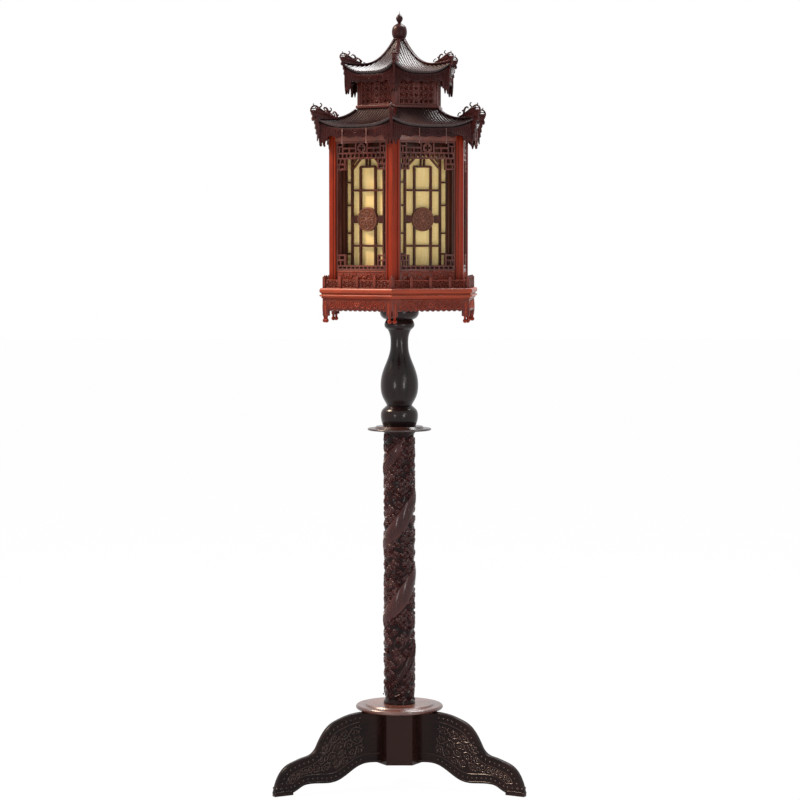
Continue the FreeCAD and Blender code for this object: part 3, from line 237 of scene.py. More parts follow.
@dataclass(frozen=True)
class VarnishedWood:
    """Sawn and carved rosewood under a clear brushed varnish.

    The varnish gives a soft white reflection over a dark, streaky red-brown; carved hollows are
    darkened as painted shade, and edges are lighter, partly worn and partly painted highlight.
    """

    name: str
    heart: str
    vein: str
    rubbed_and_highlight: str
    grain: Grain
    roughness: float
    polish: float
    vein_spacing: float = 5.0
    hollow_depth: float = 6.0
    rail_radius: float = 0.17

    def fibres(self, tree: bpy.types.NodeTree) -> bpy.types.NodeSocket:
        """Coordinates in metres whose first axis runs along the fibres.

        Args:
            tree: Node tree of the material.

        Returns:
            Socket with the coordinates.
        """
        x, y, z = add(tree, "ShaderNodeSeparateXYZ", {0: placed(tree)}).outputs
        if self.grain is Grain.UPRIGHT:
            return add(tree, "ShaderNodeCombineXYZ", {0: z, 1: x, 2: y}).outputs[0]
        flat = add(tree, "ShaderNodeCombineXYZ", {0: x, 1: y}).outputs[0]
        radius = add(tree, "ShaderNodeVectorMath", {0: flat}, operation="LENGTH").outputs["Value"]
        angle = calculated(tree, "ARCTAN2", x, calculated(tree, "MULTIPLY", y, -1.0))
        arc_length = calculated(tree, "MULTIPLY", angle, self.rail_radius)
        along, beside = (arc_length, radius) if self.grain is Grain.AROUND else (radius, arc_length)
        return add(tree, "ShaderNodeCombineXYZ", {0: along, 1: beside, 2: z}).outputs[0]

    def material(self) -> bpy.types.Material:
        """Build the wood's material.

        Returns:
            The material.
        """
        material, tree, shader = started(self.name)
        fibres = self.fibres(tree)
        stretched = add(tree, "ShaderNodeMapping", {"Vector": fibres, "Scale": (0.06, 1.0, 1.0)}).outputs[0]
        # growth rings cut lengthwise: dark veins some millimetres apart, drawn out along the fibres
        rings = noise(tree, stretched, self.vein_spacing * 2, 5.0, Roughness=0.62, Distortion=0.6)
        # open pores, 0.6 mm apart in the wood, drawn twice as coarse so that they show
        pores = noise(tree, stretched, 1.2, 2.0)
        # uneven stain, patches of about 90 mm
        patches = noise(tree, placed(tree), 90.0, 3.0)

        colour = blend(tree, ramp(tree, rings, 0.42, 0.68), self.heart, self.vein)
        colour = blend(tree, ramp(tree, patches, 0.45, 0.8, 0.0, 0.35), colour, self.rubbed_and_highlight)
        colour = blend(tree, ramp(tree, pores, 0.50, 0.72, 0.0, 0.45), colour, self.vein)
        # painted shade: ambient occlusion darkens the hollows of the carving towards the vein colour
        painted_shade_ao = add(tree, "ShaderNodeAmbientOcclusion", {"Distance": self.hollow_depth * MM}, samples=4)
        colour = blend(tree, ramp(tree, painted_shade_ao.outputs["AO"], 0.85, 0.35, 0.0, 0.75), colour, self.vein)
        # arrises lighter by pointiness: partly worn edges, partly painted highlight
        point = add(tree, "ShaderNodeNewGeometry").outputs["Pointiness"]
        colour = blend(tree, ramp(tree, point, 0.52, 0.62, 0.0, 0.5), colour, self.rubbed_and_highlight)
        tree.links.new(colour, shader.inputs["Base Color"])

        rough = ramp(tree, patches, 0.3, 0.7, self.roughness - 0.06, self.roughness + 0.08)
        tree.links.new(rough, shader.inputs["Roughness"])
        # the brush leaves ripples of about 5 mm, and the pores print through
        ripple = noise(tree, fibres, 5.0, 1.0)
        surface = add(tree, "ShaderNodeMix", {0: 0.35, 2: ripple, 3: pores}).outputs[0]
        relief(tree, shader, surface, 0.25, 0.4)
        shader.inputs["Specular IOR Level"].default_value = self.polish
        return material


@dataclass(frozen=True)
class WovenSilk:
    """Plain-woven silk, stretched and ribbed.

    Light passes through it, the warp shows as fine upright threads, and it has a faint sheen.
    """

    name: str
    thread: str
    shade: str
    warp_spacing: float = 1.1

    def material(self) -> bpy.types.Material:
        """Build the fabric's material.

        Returns:
            The material.
        """
        material, tree, shader = started(self.name)
        place = placed(tree)
        # threads lie 0.3 mm apart in silk, drawn at about 1 mm so that the weave shows
        threads = []
        for scale in ((1.0, 1.0, 0.03), (0.06, 0.06, 1.0)):
            drawn = add(tree, "ShaderNodeMapping", {"Vector": place, "Scale": scale}).outputs[0]
            threads.append(noise(tree, drawn, self.warp_spacing, 2.0))
        weave = add(tree, "ShaderNodeMix", {0: 0.4, 2: threads[0], 3: threads[1]}).outputs[0]
        colour = blend(tree, ramp(tree, weave, 0.38, 0.62), self.shade, self.thread)
        tree.links.new(colour, shader.inputs["Base Color"])
        bump = relief(tree, shader, weave, 0.4, 0.3)
        shader.inputs["Roughness"].default_value = 0.7
        shader.inputs["Sheen Weight"].default_value = 0.25
        through = add(tree, "ShaderNodeBsdfTranslucent", {"Color": colour, "Normal": bump}).outputs[0]
        both = add(tree, "ShaderNodeMixShader", {0: 0.25, 1: shader.outputs[0], 2: through}).outputs[0]
        tree.links.new(both, tree.nodes["Material Output"].inputs["Surface"])
        return material


@dataclass(frozen=True)
class Metal:
    """Plated or drawn sheet metal with fine handling marks and a slightly uneven gloss."""

    name: str
    tone: str
    mark: str
    roughness: float
    mark_spacing: float = 2.5

    def material(self) -> bpy.types.Material:
        """Build the metal's material.

        Returns:
            The material.
        """
        material, tree, shader = started(self.name)
        marks = noise(tree, placed(tree), self.mark_spacing, 6.0, Roughness=0.7)
        colour = blend(tree, ramp(tree, marks, 0.45, 0.7), self.tone, self.mark)
        tree.links.new(colour, shader.inputs["Base Color"])
        rough = ramp(tree, marks, 0.3, 0.7, self.roughness - 0.06, self.roughness + 0.1)
        tree.links.new(rough, shader.inputs["Roughness"])
        relief(tree, shader, marks, 0.15, 0.2)
        shader.inputs["Metallic"].default_value = 1.0
        return material


@dataclass(frozen=True)
class MouldedPhenolic:
    """Compression-moulded phenolic: near black, faintly flecked, with a satin mould skin."""

    name: str
    body: str
    fleck: str

    def material(self) -> bpy.types.Material:
        """Build the plastic's material.

        Returns:
            The material.
        """
        material, tree, shader = started(self.name)
        # wood-flour filler shows as flecks of under a millimetre
        flecks = noise(tree, placed(tree), 0.9, 2.0)
        colour = blend(tree, ramp(tree, flecks, 0.55, 0.7), self.body, self.fleck)
        tree.links.new(colour, shader.inputs["Base Color"])
        relief(tree, shader, flecks, 0.2, 0.2)
        shader.inputs["Roughness"].default_value = 0.38
        shader.inputs["IOR"].default_value = 1.6
        return material


@dataclass(frozen=True)
class FrostedGlass:
    """Blown soda glass, etched white inside, so that the bulb looks milky with a clear gloss."""

    name: str
    milk: str

    def material(self) -> bpy.types.Material:
        """Build the glass's material.

        Returns:
            The material.
        """
        material, tree, shader = started(self.name)
        # the etch is uneven in patches of about 12 mm
        etch = noise(tree, placed(tree), 12.0, 3.0)
        tree.links.new(ramp(tree, etch, 0.3, 0.7, 0.35, 0.5), shader.inputs["Roughness"])
        shader.inputs["Base Color"].default_value = linear(self.milk)
        shader.inputs["IOR"].default_value = 1.52
        shader.inputs["Transmission Weight"].default_value = 0.35
        shader.inputs["Coat Weight"].default_value = 1.0
        shader.inputs["Coat Roughness"].default_value = 0.03
        return material


# name, heart, vein, worn-edge and painted-highlight colour, grain, roughness and polish of each wood
WOODS = {key: VarnishedWood(*row) for key, row in {
    "leg": ("varnished_rosewood_leg", "170A0A", "0A0505", "34201C", Grain.OUTWARD, 0.26, 0.12),
    # relief finishes are lighter than the ground they stand on: painted highlight on the raised carving,
    # partly worn high points
    "leg_relief": ("rosewood_leg_relief_worn_and_highlit", "1C0D0B", "0E0706", "503A34", Grain.OUTWARD, 0.18, 0.4),
    "disc": ("varnished_rosewood_disc", "4A2620", "28120F", "8A5848", Grain.AROUND, 0.24, 0.9),
    "cap": ("varnished_rosewood_cap", "2A1513", "170B0A", "5C3C34", Grain.AROUND, 0.26, 0.6),
    "column": ("carved_rosewood_column", "1C0B0D", "0C0506", "341A1A", Grain.UPRIGHT, 0.22, 0.12),
    # lighter than the column's ground: painted highlight on the dragon and clouds, partly worn high points
    "column_relief": ("rosewood_column_relief_worn_and_highlit", "2C1113", "140809", "522E2C", Grain.UPRIGHT, 0.16, 0.26),
    "baluster": ("turned_rosewood_dark", "1C1011", "0E0808", "2E1A1A", Grain.UPRIGHT, 0.2, 0.24),
    "rail": ("varnished_rosewood_rail", "78210F", "400F08", "A44A30", Grain.AROUND, 0.36, 0.2),
    "railing": ("varnished_rosewood_railing", "561A14", "2C0C09", "8C4434", Grain.AROUND, 0.36, 0.2),
    "post": ("varnished_rosewood_post", "7C210F", "421008", "943618", Grain.UPRIGHT, 0.36, 0.14),
    "fret": ("varnished_rosewood_fret", "561F18", "2C0E0B", "946052", Grain.UPRIGHT, 0.34, 0.3),
    "screen": ("varnished_rosewood_screen", "461A10", "220D08", "7A4A30", Grain.UPRIGHT, 0.4, 0.2),
    # lighter than the screen wood of its field: painted highlight on the medallion's relief
    "medallion": ("carved_rosewood_medallion", "54241A", "260F0B", "B07C68", Grain.UPRIGHT, 0.3, 0.3),
    "tile": ("varnished_rosewood_tiles", "2C1818", "180E0E", "4C3432", Grain.OUTWARD, 0.36, 0.5),
    "roof": ("varnished_rosewood_roof", "300F10", "160708", "4E1F1B", Grain.AROUND, 0.32, 0.14),
    "drum": ("varnished_rosewood_drum", "461613", "1C0807", "7C3C32", Grain.UPRIGHT, 0.32, 0.25),
    "drop": ("turned_rosewood_pale", "683A36", "42221E", "96706A", Grain.UPRIGHT, 0.3, 0.4),
    "hidden": ("oiled_hardwood", "6A4430", "4A2C1E", "8A6048", Grain.AROUND, 0.5, 0.1),
}.items()}


@dataclass
class Finishes:
    """Every finish of the lamp, as materials that are made once."""

    made: dict[str, bpy.types.Material] = field(default_factory=dict)

    def wood(self, key: str) -> bpy.types.Material:
        """Material of one of the woods, by its key."""
        return self.other(WOODS[key])

    def other(self, finish: VarnishedWood | WovenSilk | Metal | MouldedPhenolic | FrostedGlass
              ) -> bpy.types.Material:
        """Material of any finish."""
        if finish.name not in self.made:
            self.made[finish.name] = finish.material()
        return self.made[finish.name]


SILK = WovenSilk("woven_cream_silk", "FFEDB2", "F4D684")
ZINC = Metal("zinc_plated_steel", "B8BABC", "8E9092", 0.36)
BRASS = Metal("nickel_plated_brass", "C4C0B6", "96928A", 0.28)
PHENOLIC = MouldedPhenolic("moulded_phenolic", "161414", "2A2624")
OPAL = FrostedGlass("frosted_bulb_glass", "F4EEDF")


# ================================================================ carving in mesh

@dataclass(frozen=True)
class Ground:
    """Flat face that carving stands on.

    across and up of a stroke run along the two axes; normal points out of the wood.
    """

    normal: Vector
    across: Vector
    distance: float
    up: Vector = Vector((0, 0, 1))

    def lift(self, path: np.ndarray) -> tuple[np.ndarray, np.ndarray]:
        """Place (across, up) points in space.

        Args:
            path: Points, one row each.

        Returns:
            The points in space, and the outward normal at each.
        """
        place = (np.outer(path[:, 0], self.across) + np.outer(path[:, 1], self.up)
                 + np.array(self.normal) * self.distance)
        return place, np.tile(np.array(self.normal), (len(path), 1))


@dataclass(frozen=True)
class RoundGround:
    """Upright cylinder that carving stands on; across runs round it."""

    radius: float

    def lift(self, path: np.ndarray) -> tuple[np.ndarray, np.ndarray]:
        """Place (arc length, height) points in space.

        Args:
            path: Points, one row each.

        Returns:
            The points in space, and the outward normal at each.
        """
        angle = path[:, 0] / self.radius
        normal = np.stack([np.cos(angle), np.sin(angle), np.zeros(len(angle))], 1)
        place = normal * self.radius
        place[:, 2] = path[:, 1]
        return place, normal


def face_ground(angle: float, distance: float) -> Ground:
    """Ground on a face of the lantern whose outward normal has this direction."""
    a = math.radians(angle)
    return Ground(Vector((math.cos(a), math.sin(a), 0)), Vector((-math.sin(a), math.cos(a), 0)), distance)


def side_ground(angle: float, side: int, distance: float) -> Ground:
    """Ground on one side of a board that stands in the upright plane through the axis."""
    a = math.radians(angle)
    return Ground(Vector((-math.sin(a), math.cos(a), 0)) * side, Vector((math.cos(a), math.sin(a), 0)),
                  distance)


@dataclass(frozen=True)
class Stroke:
    """One raised ridge of carving.

    tips are the widths of its two ends as shares of its full width, and base is how far above
    the ground it starts.
    """

    path: np.ndarray
    width: float
    height: float
    tips: tuple[float, float] = (1.0, 1.0)
    base: float | np.ndarray = 0.0


def directions(line: np.ndarray) -> np.ndarray:
    """Unit direction of a line at each of its points."""
    tangent = np.gradient(line, axis=0)
    return tangent / np.linalg.norm(tangent, axis=1, keepdims=True)


def distances(line: np.ndarray) -> np.ndarray:
    """How far along a line each of its points lies."""
    return np.concatenate([[0], np.cumsum(np.linalg.norm(np.diff(line, axis=0), axis=1))])


def sideways(place: np.ndarray, normal: np.ndarray) -> np.ndarray:
    """Unit direction across a line in space, level with the ground under it."""
    side = np.cross(normal, np.gradient(place, axis=0))
    return side / np.maximum(np.linalg.norm(side, axis=1, keepdims=True), 1e-9)


SECTION = np.array([(-1.0, 0.0), (-0.72, 0.62), (0.0, 1.0), (0.72, 0.62), (1.0, 0.0)])


class Carving:
    """Mesh that collects strokes, beads and tubes, in millimetres."""

    def __init__(self) -> None:
        """Start with no points."""
        self.points: list[np.ndarray] = []
        self.faces: list[tuple[int, ...]] = []
        self.count = 0

    def add(self, points: np.ndarray, faces: Iterable[Sequence[int]]) -> None:
        """Add a closed form.

        Args:
            points: Its vertices.
            faces: Its faces, as indices into points.
        """
        self.faces += [tuple(k + self.count for k in face) for face in faces]
        self.points.append(np.asarray(points, float))
        self.count += len(points)

    def rings(self, rings: np.ndarray) -> None:
        """Add a closed form from rings of points, with flat ends.

        Args:
            rings: Points as (ring, place round the ring, xyz).
        """
        n, m = rings.shape[:2]
        faces = [(i * m + j, i * m + (j + 1) % m, (i + 1) * m + (j + 1) % m, (i + 1) * m + j)
                 for i in range(n - 1) for j in range(m)]
        faces.append(tuple(range(m - 1, -1, -1)))
        faces.append(tuple((n - 1) * m + j for j in range(m)))
        self.add(rings.reshape(-1, 3), faces)

    def strokes(self, strokes: Iterable[Stroke], ground: Ground | RoundGround, sink: float = 0.6) -> None:
        """Add raised ridges.

        Args:
            strokes: The ridges.
            ground: What they stand on.
            sink: How far they reach into the wood, or the depth of a pierced piece.
        """
        for stroke in strokes:
            place, normal = ground.lift(np.asarray(stroke.path, float))
            side = sideways(place, normal)
            s = np.linspace(0, 1, len(place))
            share = ((stroke.tips[0] + (1 - stroke.tips[0]) * np.minimum(1, s / 0.35))
                     * (stroke.tips[1] + (1 - stroke.tips[1]) * np.minimum(1, (1 - s) / 0.35)))
            base = np.broadcast_to(stroke.base, len(place))
            out = np.where(SECTION[None, :, 1] > 0,
                           base[:, None] + SECTION[None, :, 1] * stroke.height * share[:, None], -sink)
            wide = SECTION[None, :, 0] * stroke.width / 2 * share[:, None]
            self.rings(place[:, None] + side[:, None] * wide[..., None] + normal[:, None] * out[..., None])

    def beads(self, centres: np.ndarray, radius: float, ground: Ground | RoundGround,
              height: float = 1.0, base: float = 0.0) -> None:
        """Add round beads.

        Args:
            centres: Their (across, up) places.
            radius: Of each bead.
            ground: What they stand on.
            height: Of a bead, as a share of its radius.
            base: How far above the ground they start.
        """
        place, normal = ground.lift(np.asarray(centres, float).reshape(-1, 2))
        turns = np.linspace(0, 2 * math.pi, 9)[:-1]
        for p, n in zip(place, normal):
            side = np.cross(n, (0, 0, 1))
            side /= np.linalg.norm(side)
            other = np.cross(side, n)
            rings = []
            for lift in (-20.0, 10.0, 40.0, 65.0, 86.0):
                a = math.radians(lift)
                r = radius * math.cos(a)
                rings.append(p + n * (base + radius * height * math.sin(a))
                             + np.outer(np.cos(turns), side) * r + np.outer(np.sin(turns), other) * r)
            self.rings(np.array(rings))

    def tube(self, path: np.ndarray, radii: Sequence[float], ground: Ground, thickness: float = 1.0) -> None:
        """Add a round tapering bar that lies in a ground's plane.

        Args:
            path: Its (across, up) centre line.
            radii: Its radius at each point.
            ground: Plane of the centre line.
            thickness: Half the bar's thickness out of the plane, as a share of its radius.
        """
        place, normal = ground.lift(np.asarray(path, float))
        side = sideways(place, normal)
        turns = np.linspace(0, 2 * math.pi, 9)[:-1]
        r = np.asarray(radii, float)[:, None, None]
        self.rings(place[:, None] + side[:, None] * np.cos(turns)[None, :, None] * r
                   + normal[:, None] * np.sin(turns)[None, :, None] * r * thickness)

    def plate(self, outline: np.ndarray, thickness: float, ground: Ground) -> None:
        """Add a flat board with its middle plane on a ground.

        Args:
            outline: Its (across, up) corners.
            thickness: Of the board.
            ground: Plane of its middle.
        """
        place, normal = ground.lift(np.asarray(outline, float))
        n = len(place)
        faces = [tuple(range(n)), tuple(range(2 * n - 1, n - 1, -1))]
        faces += [(k, (k + 1) % n, n + (k + 1) % n, n + k) for k in range(n)]
        self.add(np.concatenate([place + normal * thickness / 2, place - normal * thickness / 2]), faces)

    def turned(self, outline: Sequence[tuple[float, float]], centre: Sequence[float],
               sides: int = 16) -> None:
        """Add an upright turned form.

        Args:
            outline: (radius, height) points from one end to the other.
            centre: Where the outline's zero is.
            sides: Points round the form.
        """
        turns = np.linspace(0, 2 * math.pi, sides + 1)[:-1]
        rings = [np.stack([centre[0] + r * np.cos(turns), centre[1] + r * np.sin(turns),
                           np.full(sides, centre[2] + z)], 1) for r, z in outline]
        self.rings(np.array(rings))

    def piece(self, name: str, body: str, slot: str, material: bpy.types.Material,
              replaces: Sequence[str] = (), crease: float = 50.0) -> bpy.types.Object:
        """Make the object, put it on its body and hide the nodes that it replaces.

        Args:
            name: Of the piece.
            body: Body that it moves with.
            slot: Not used.
            material: Its finish.
            replaces: Nodes that it stands for.
            crease: Angle in degrees from which an edge is sharp.

        Returns:
            The new object.
        """
        mesh = bpy.data.meshes.new(name)
        mesh.from_pydata((np.concatenate(self.points) * MM).tolist(), [], self.faces)
        work = bmesh.new()
        work.from_mesh(mesh)
        bmesh.ops.recalc_face_normals(work, faces=work.faces)
        return finished(name, work, mesh, body, material, replaces, crease)


def finished(name: str, work: bmesh.types.BMesh, mesh: bpy.types.Mesh, body: str,
             material: bpy.types.Material, replaces: Sequence[str], crease: float) -> bpy.types.Object:
    """Write a mesh, shade it, and place the piece on its body.

    Args:
        name: Of the piece.
        work: Finished form.
        mesh: Mesh that takes it.
        body: Body that it moves with.
        material: Its finish.
        replaces: Nodes that it stands for.
        crease: Angle in degrees from which an edge is sharp.

    Returns:
        The new object.
    """
    for face in work.faces:
        face.smooth = True
    for edge in work.edges:
        edge.smooth = edge.is_manifold and edge.calc_face_angle(0) < math.radians(crease)
    work.to_mesh(mesh)
    work.free()
    mesh.materials.append(material)
    piece = bpy.data.objects.new(name, mesh)
    bpy.context.scene.collection.objects.link(piece)
    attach(piece, body)
    if replaces:
        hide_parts(*replaces)
    log.info("%s: %d vertices on %s", name, len(mesh.vertices), body)
    return piece


def eased(node: str, width: float, body: str, material: bpy.types.Material) -> bpy.types.Object:
    """Copy of a sharp-edged node with its arrises taken off, as a joiner does.

    Args:
        node: Node that the copy replaces.
        width: Of the rounding.
        body: Body that it moves with.
        material: Its finish.

    Returns:
        The new object.
    """
    work = bmesh.new()
    work.from_mesh(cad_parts[node].data)
    bmesh.ops.remove_doubles(work, verts=work.verts, dist=0.002 * MM)
    bmesh.ops.dissolve_limit(work, angle_limit=math.radians(1), verts=work.verts, edges=work.edges)
    sharp = [e for e in work.edges if e.is_manifold and e.calc_face_angle(0) > math.radians(35)]
    bmesh.ops.bevel(work, geom=sharp, offset=width * MM, segments=2, profile=0.5, affect="EDGES",
                    clamp_overlap=True)
    name = f"{node}_eased"
    return finished(name, work, bpy.data.meshes.new(name), body, material, [node], 40.0)


def dress(nodes: Iterable[str], material: bpy.types.Material) -> None:
    """Give nodes that stay as they are their finish.

    Args:
        nodes: Their names.
        material: Their finish.
    """
    for node in nodes:
        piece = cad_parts[node]
        if piece.material_slots:
            for slot in piece.material_slots:
                slot.material = material
        else:
            piece.data.materials.append(material)
        log.info("%s: %s", node, material.name)


class Probe:
    """Finds where upright and level lines meet nodes of the frame."""

    def __init__(self, *nodes: str) -> None:
        """Read the nodes' meshes.

        Args:
            *nodes: Names of the nodes.
        """
        points: list[Vector] = []
        polygons: list[list[int]] = []
        for node in nodes:
            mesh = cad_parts[node].data
            start = len(points)
            points += [v.co.copy() for v in mesh.vertices]
            polygons += [[start + k for k in p.vertices] for p in mesh.polygons]
        self.tree = BVHTree.FromPolygons(points, polygons)

    def height(self, x: float, y: float, down: bool = True) -> float | None:
        """Highest or lowest place over a plan point.

        Args:
            x: Of the point, in millimetres.
            y: Of the point.
            down: True for the highest place.

        Returns:
            The height in millimetres, or None beside the nodes.
        """
        start = Vector((x * MM, y * MM, 3.0 if down else -1.0))
        hit = self.tree.ray_cast(start, Vector((0, 0, -1 if down else 1)))[0]
        return None if hit is None else hit.z / MM

    def span(self, ground: Ground, across: float, depth: float) -> tuple[float, float] | None:
        """Lowest and highest place of a board under one point of its face.

        Args:
            ground: The board's face.
            across: Place on the face.
            depth: How far behind the face to look.

        Returns:
            Both heights, or None beside the board.
        """
        at = ground.across * across + ground.normal * (ground.distance - depth)
        low = self.height(at.x, at.y, False)
        high = self.height(at.x, at.y, True)
        return None if low is None or high is None else (low, high)


# ================================================================ carver's patterns

def spiral(centre: Sequence[float], radius: float, turns: float, start: float, sense: int,
           points: int = 13) -> np.ndarray:
    """Curl that winds in towards its centre.

    Args:
        centre: Of the curl.
        radius: At its outer end.
        turns: How often it goes round.
        start: Direction of the outer end in degrees.
        sense: 1 for anticlockwise, -1 for clockwise.
        points: Number of points.

    Returns:
        Its points.
    """
    t = np.linspace(0, 1, points)
    angle = math.radians(start) + sense * 2 * math.pi * turns * t
    reach = radius * (1 - 0.8 * t)
    return np.stack([centre[0] + reach * np.cos(angle), centre[1] + reach * np.sin(angle)], 1)


def arc(start: Sequence[float], end: Sequence[float], bulge: float, points: int = 7) -> np.ndarray:
    """Bowed line between two points.

    Args:
        start: First point.
        end: Last point.
        bulge: How far its middle stands to the left of the straight line.
        points: Number of points.

    Returns:
        Its points.
    """
    a = np.asarray(start, float)
    b = np.asarray(end, float)
    t = np.linspace(0, 1, points)[:, None]
    left = np.array([-(b - a)[1], (b - a)[0]]) / max(np.linalg.norm(b - a), 1e-9)
    return a + (b - a) * t + left * bulge * 4 * t * (1 - t)


def vine_bay(length: float, half: float, sense: int, width: float, height: float) -> list[Stroke]:
    """One bay of a scrolling vine: an arched stem, a curl under the arch and its leaves.

    Args:
        length: Of the bay.
        half: Half the height of the band.
        sense: 1 where the stem arches up, -1 where it hangs down.
        width: Of the stem.
        height: Of the relief.

    Returns:
        Its strokes, from 0 to length across and from -half to half up.
    """
    t = np.linspace(0, 1, 9)
    stem = np.stack([length * t, half * 0.72 * np.sin(math.pi * t)], 1)
    reach = min(length * 0.36, half * 0.62)
    heart = (length * 0.5, -half * 0.16)
    found = [
        Stroke(stem, width, height),
        Stroke(spiral(heart, reach, 1.35, 180, 1), width * 0.9, height, (1.0, 0.5)),
    ]
    # leaves: both ends as shares of the length and of half the height, bulge, width and first tip
    for (x0, y0), (x1, y1), bulge, wide, tip, *points in (
            ((0.16, 0.30), (0.02, 0.95), -0.16, 1.0, 0.6),
            ((0.84, 0.30), (0.96, 0.92), 0.16, 1.0, 0.6),
            ((0.12, -0.25), (0.26, -0.95), 0.14, 0.9, 0.6),
            ((0.88, -0.2), (0.76, -0.95), -0.14, 0.9, 0.6),
            ((0.42, 0.70), (0.36, 1.0), 0.06, 0.8, 0.8, 4),
            ((0.58, 0.70), (0.64, 1.0), -0.06, 0.8, 0.8, 4)):
        path = arc((length * x0, half * y0), (length * x1, half * y1), half * bulge, *points)
        found.append(Stroke(path, width * wide, height, (tip, 0.1)))
    return [replace(s, path=s.path * (1, sense)) for s in found]


def moved(strokes: Iterable[Stroke], across: float, up: float, flip: int = 1) -> list[Stroke]:
    """The strokes at another place.

    Args:
        strokes: To be moved.
        across: How far sideways.
        up: How far up.
        flip: -1 where they run the other way across.

    Returns:
        New strokes.
    """
    return [replace(s, path=s.path * (flip, 1) + (across, up)) for s in strokes]


def bent(strokes: Iterable[Stroke], line: np.ndarray) -> list[Stroke]:
    """The strokes of a straight band, laid along a curved line.

    Args:
        strokes: Of a band whose middle is at 0 up.
        line: Middle line of the curved band.

    Returns:
        New strokes.
    """
    along = distances(line)
    columns = np.column_stack([line, directions(line)])
    found = []
    for s in strokes:
        x, y, tx, ty = (np.interp(s.path[:, 0], along, column) for column in columns.T)
        found.append(replace(s, path=np.stack([x - ty * s.path[:, 1], y + tx * s.path[:, 1]], 1)))
    return found


def flower(radius: float, petals: int, width: float, height: float) -> list[Stroke]:
    """Open flower with rounded petals about its centre.

    Args:
        radius: Of the flower.
        petals: How many.
        width: Of a petal.
        height: Of the relief.

    Returns:
        Its strokes.
    """
    found = []
    for k in range(petals):
        a = 2 * math.pi * (k + 0.5) / petals
        out = np.array([math.cos(a), math.sin(a)])
        found.append(Stroke(np.stack([out * radius * f for f in (0.28, 0.45, 0.62, 0.8, 1.0)]), width, height,
                            (0.5, 0.35)))
    return found


def vine_band(half_length: float, half: float, bays: int, width: float, height: float) -> list[Stroke]:
    """Scrolling vine that runs both ways from a flower in the middle.

    Args:
        half_length: Half the length of the band.
        half: Half its height.
        bays: On each side of the flower.
        width: Of the stem.
        height: Of the relief.

    Returns:
        Its strokes about 0 across and 0 up.
    """
    heart = half * 0.75
    bay = (half_length - heart) / bays
    found = flower(heart * 0.95, 6, heart * 0.62, height)
    for k in range(bays):
        for flip in (1, -1):
            found += moved(vine_bay(bay, half, 1 if k % 2 == 0 else -1, width, height),
                           flip * (heart + bay * k), 0, flip)
    return found


# ================================================================ stand

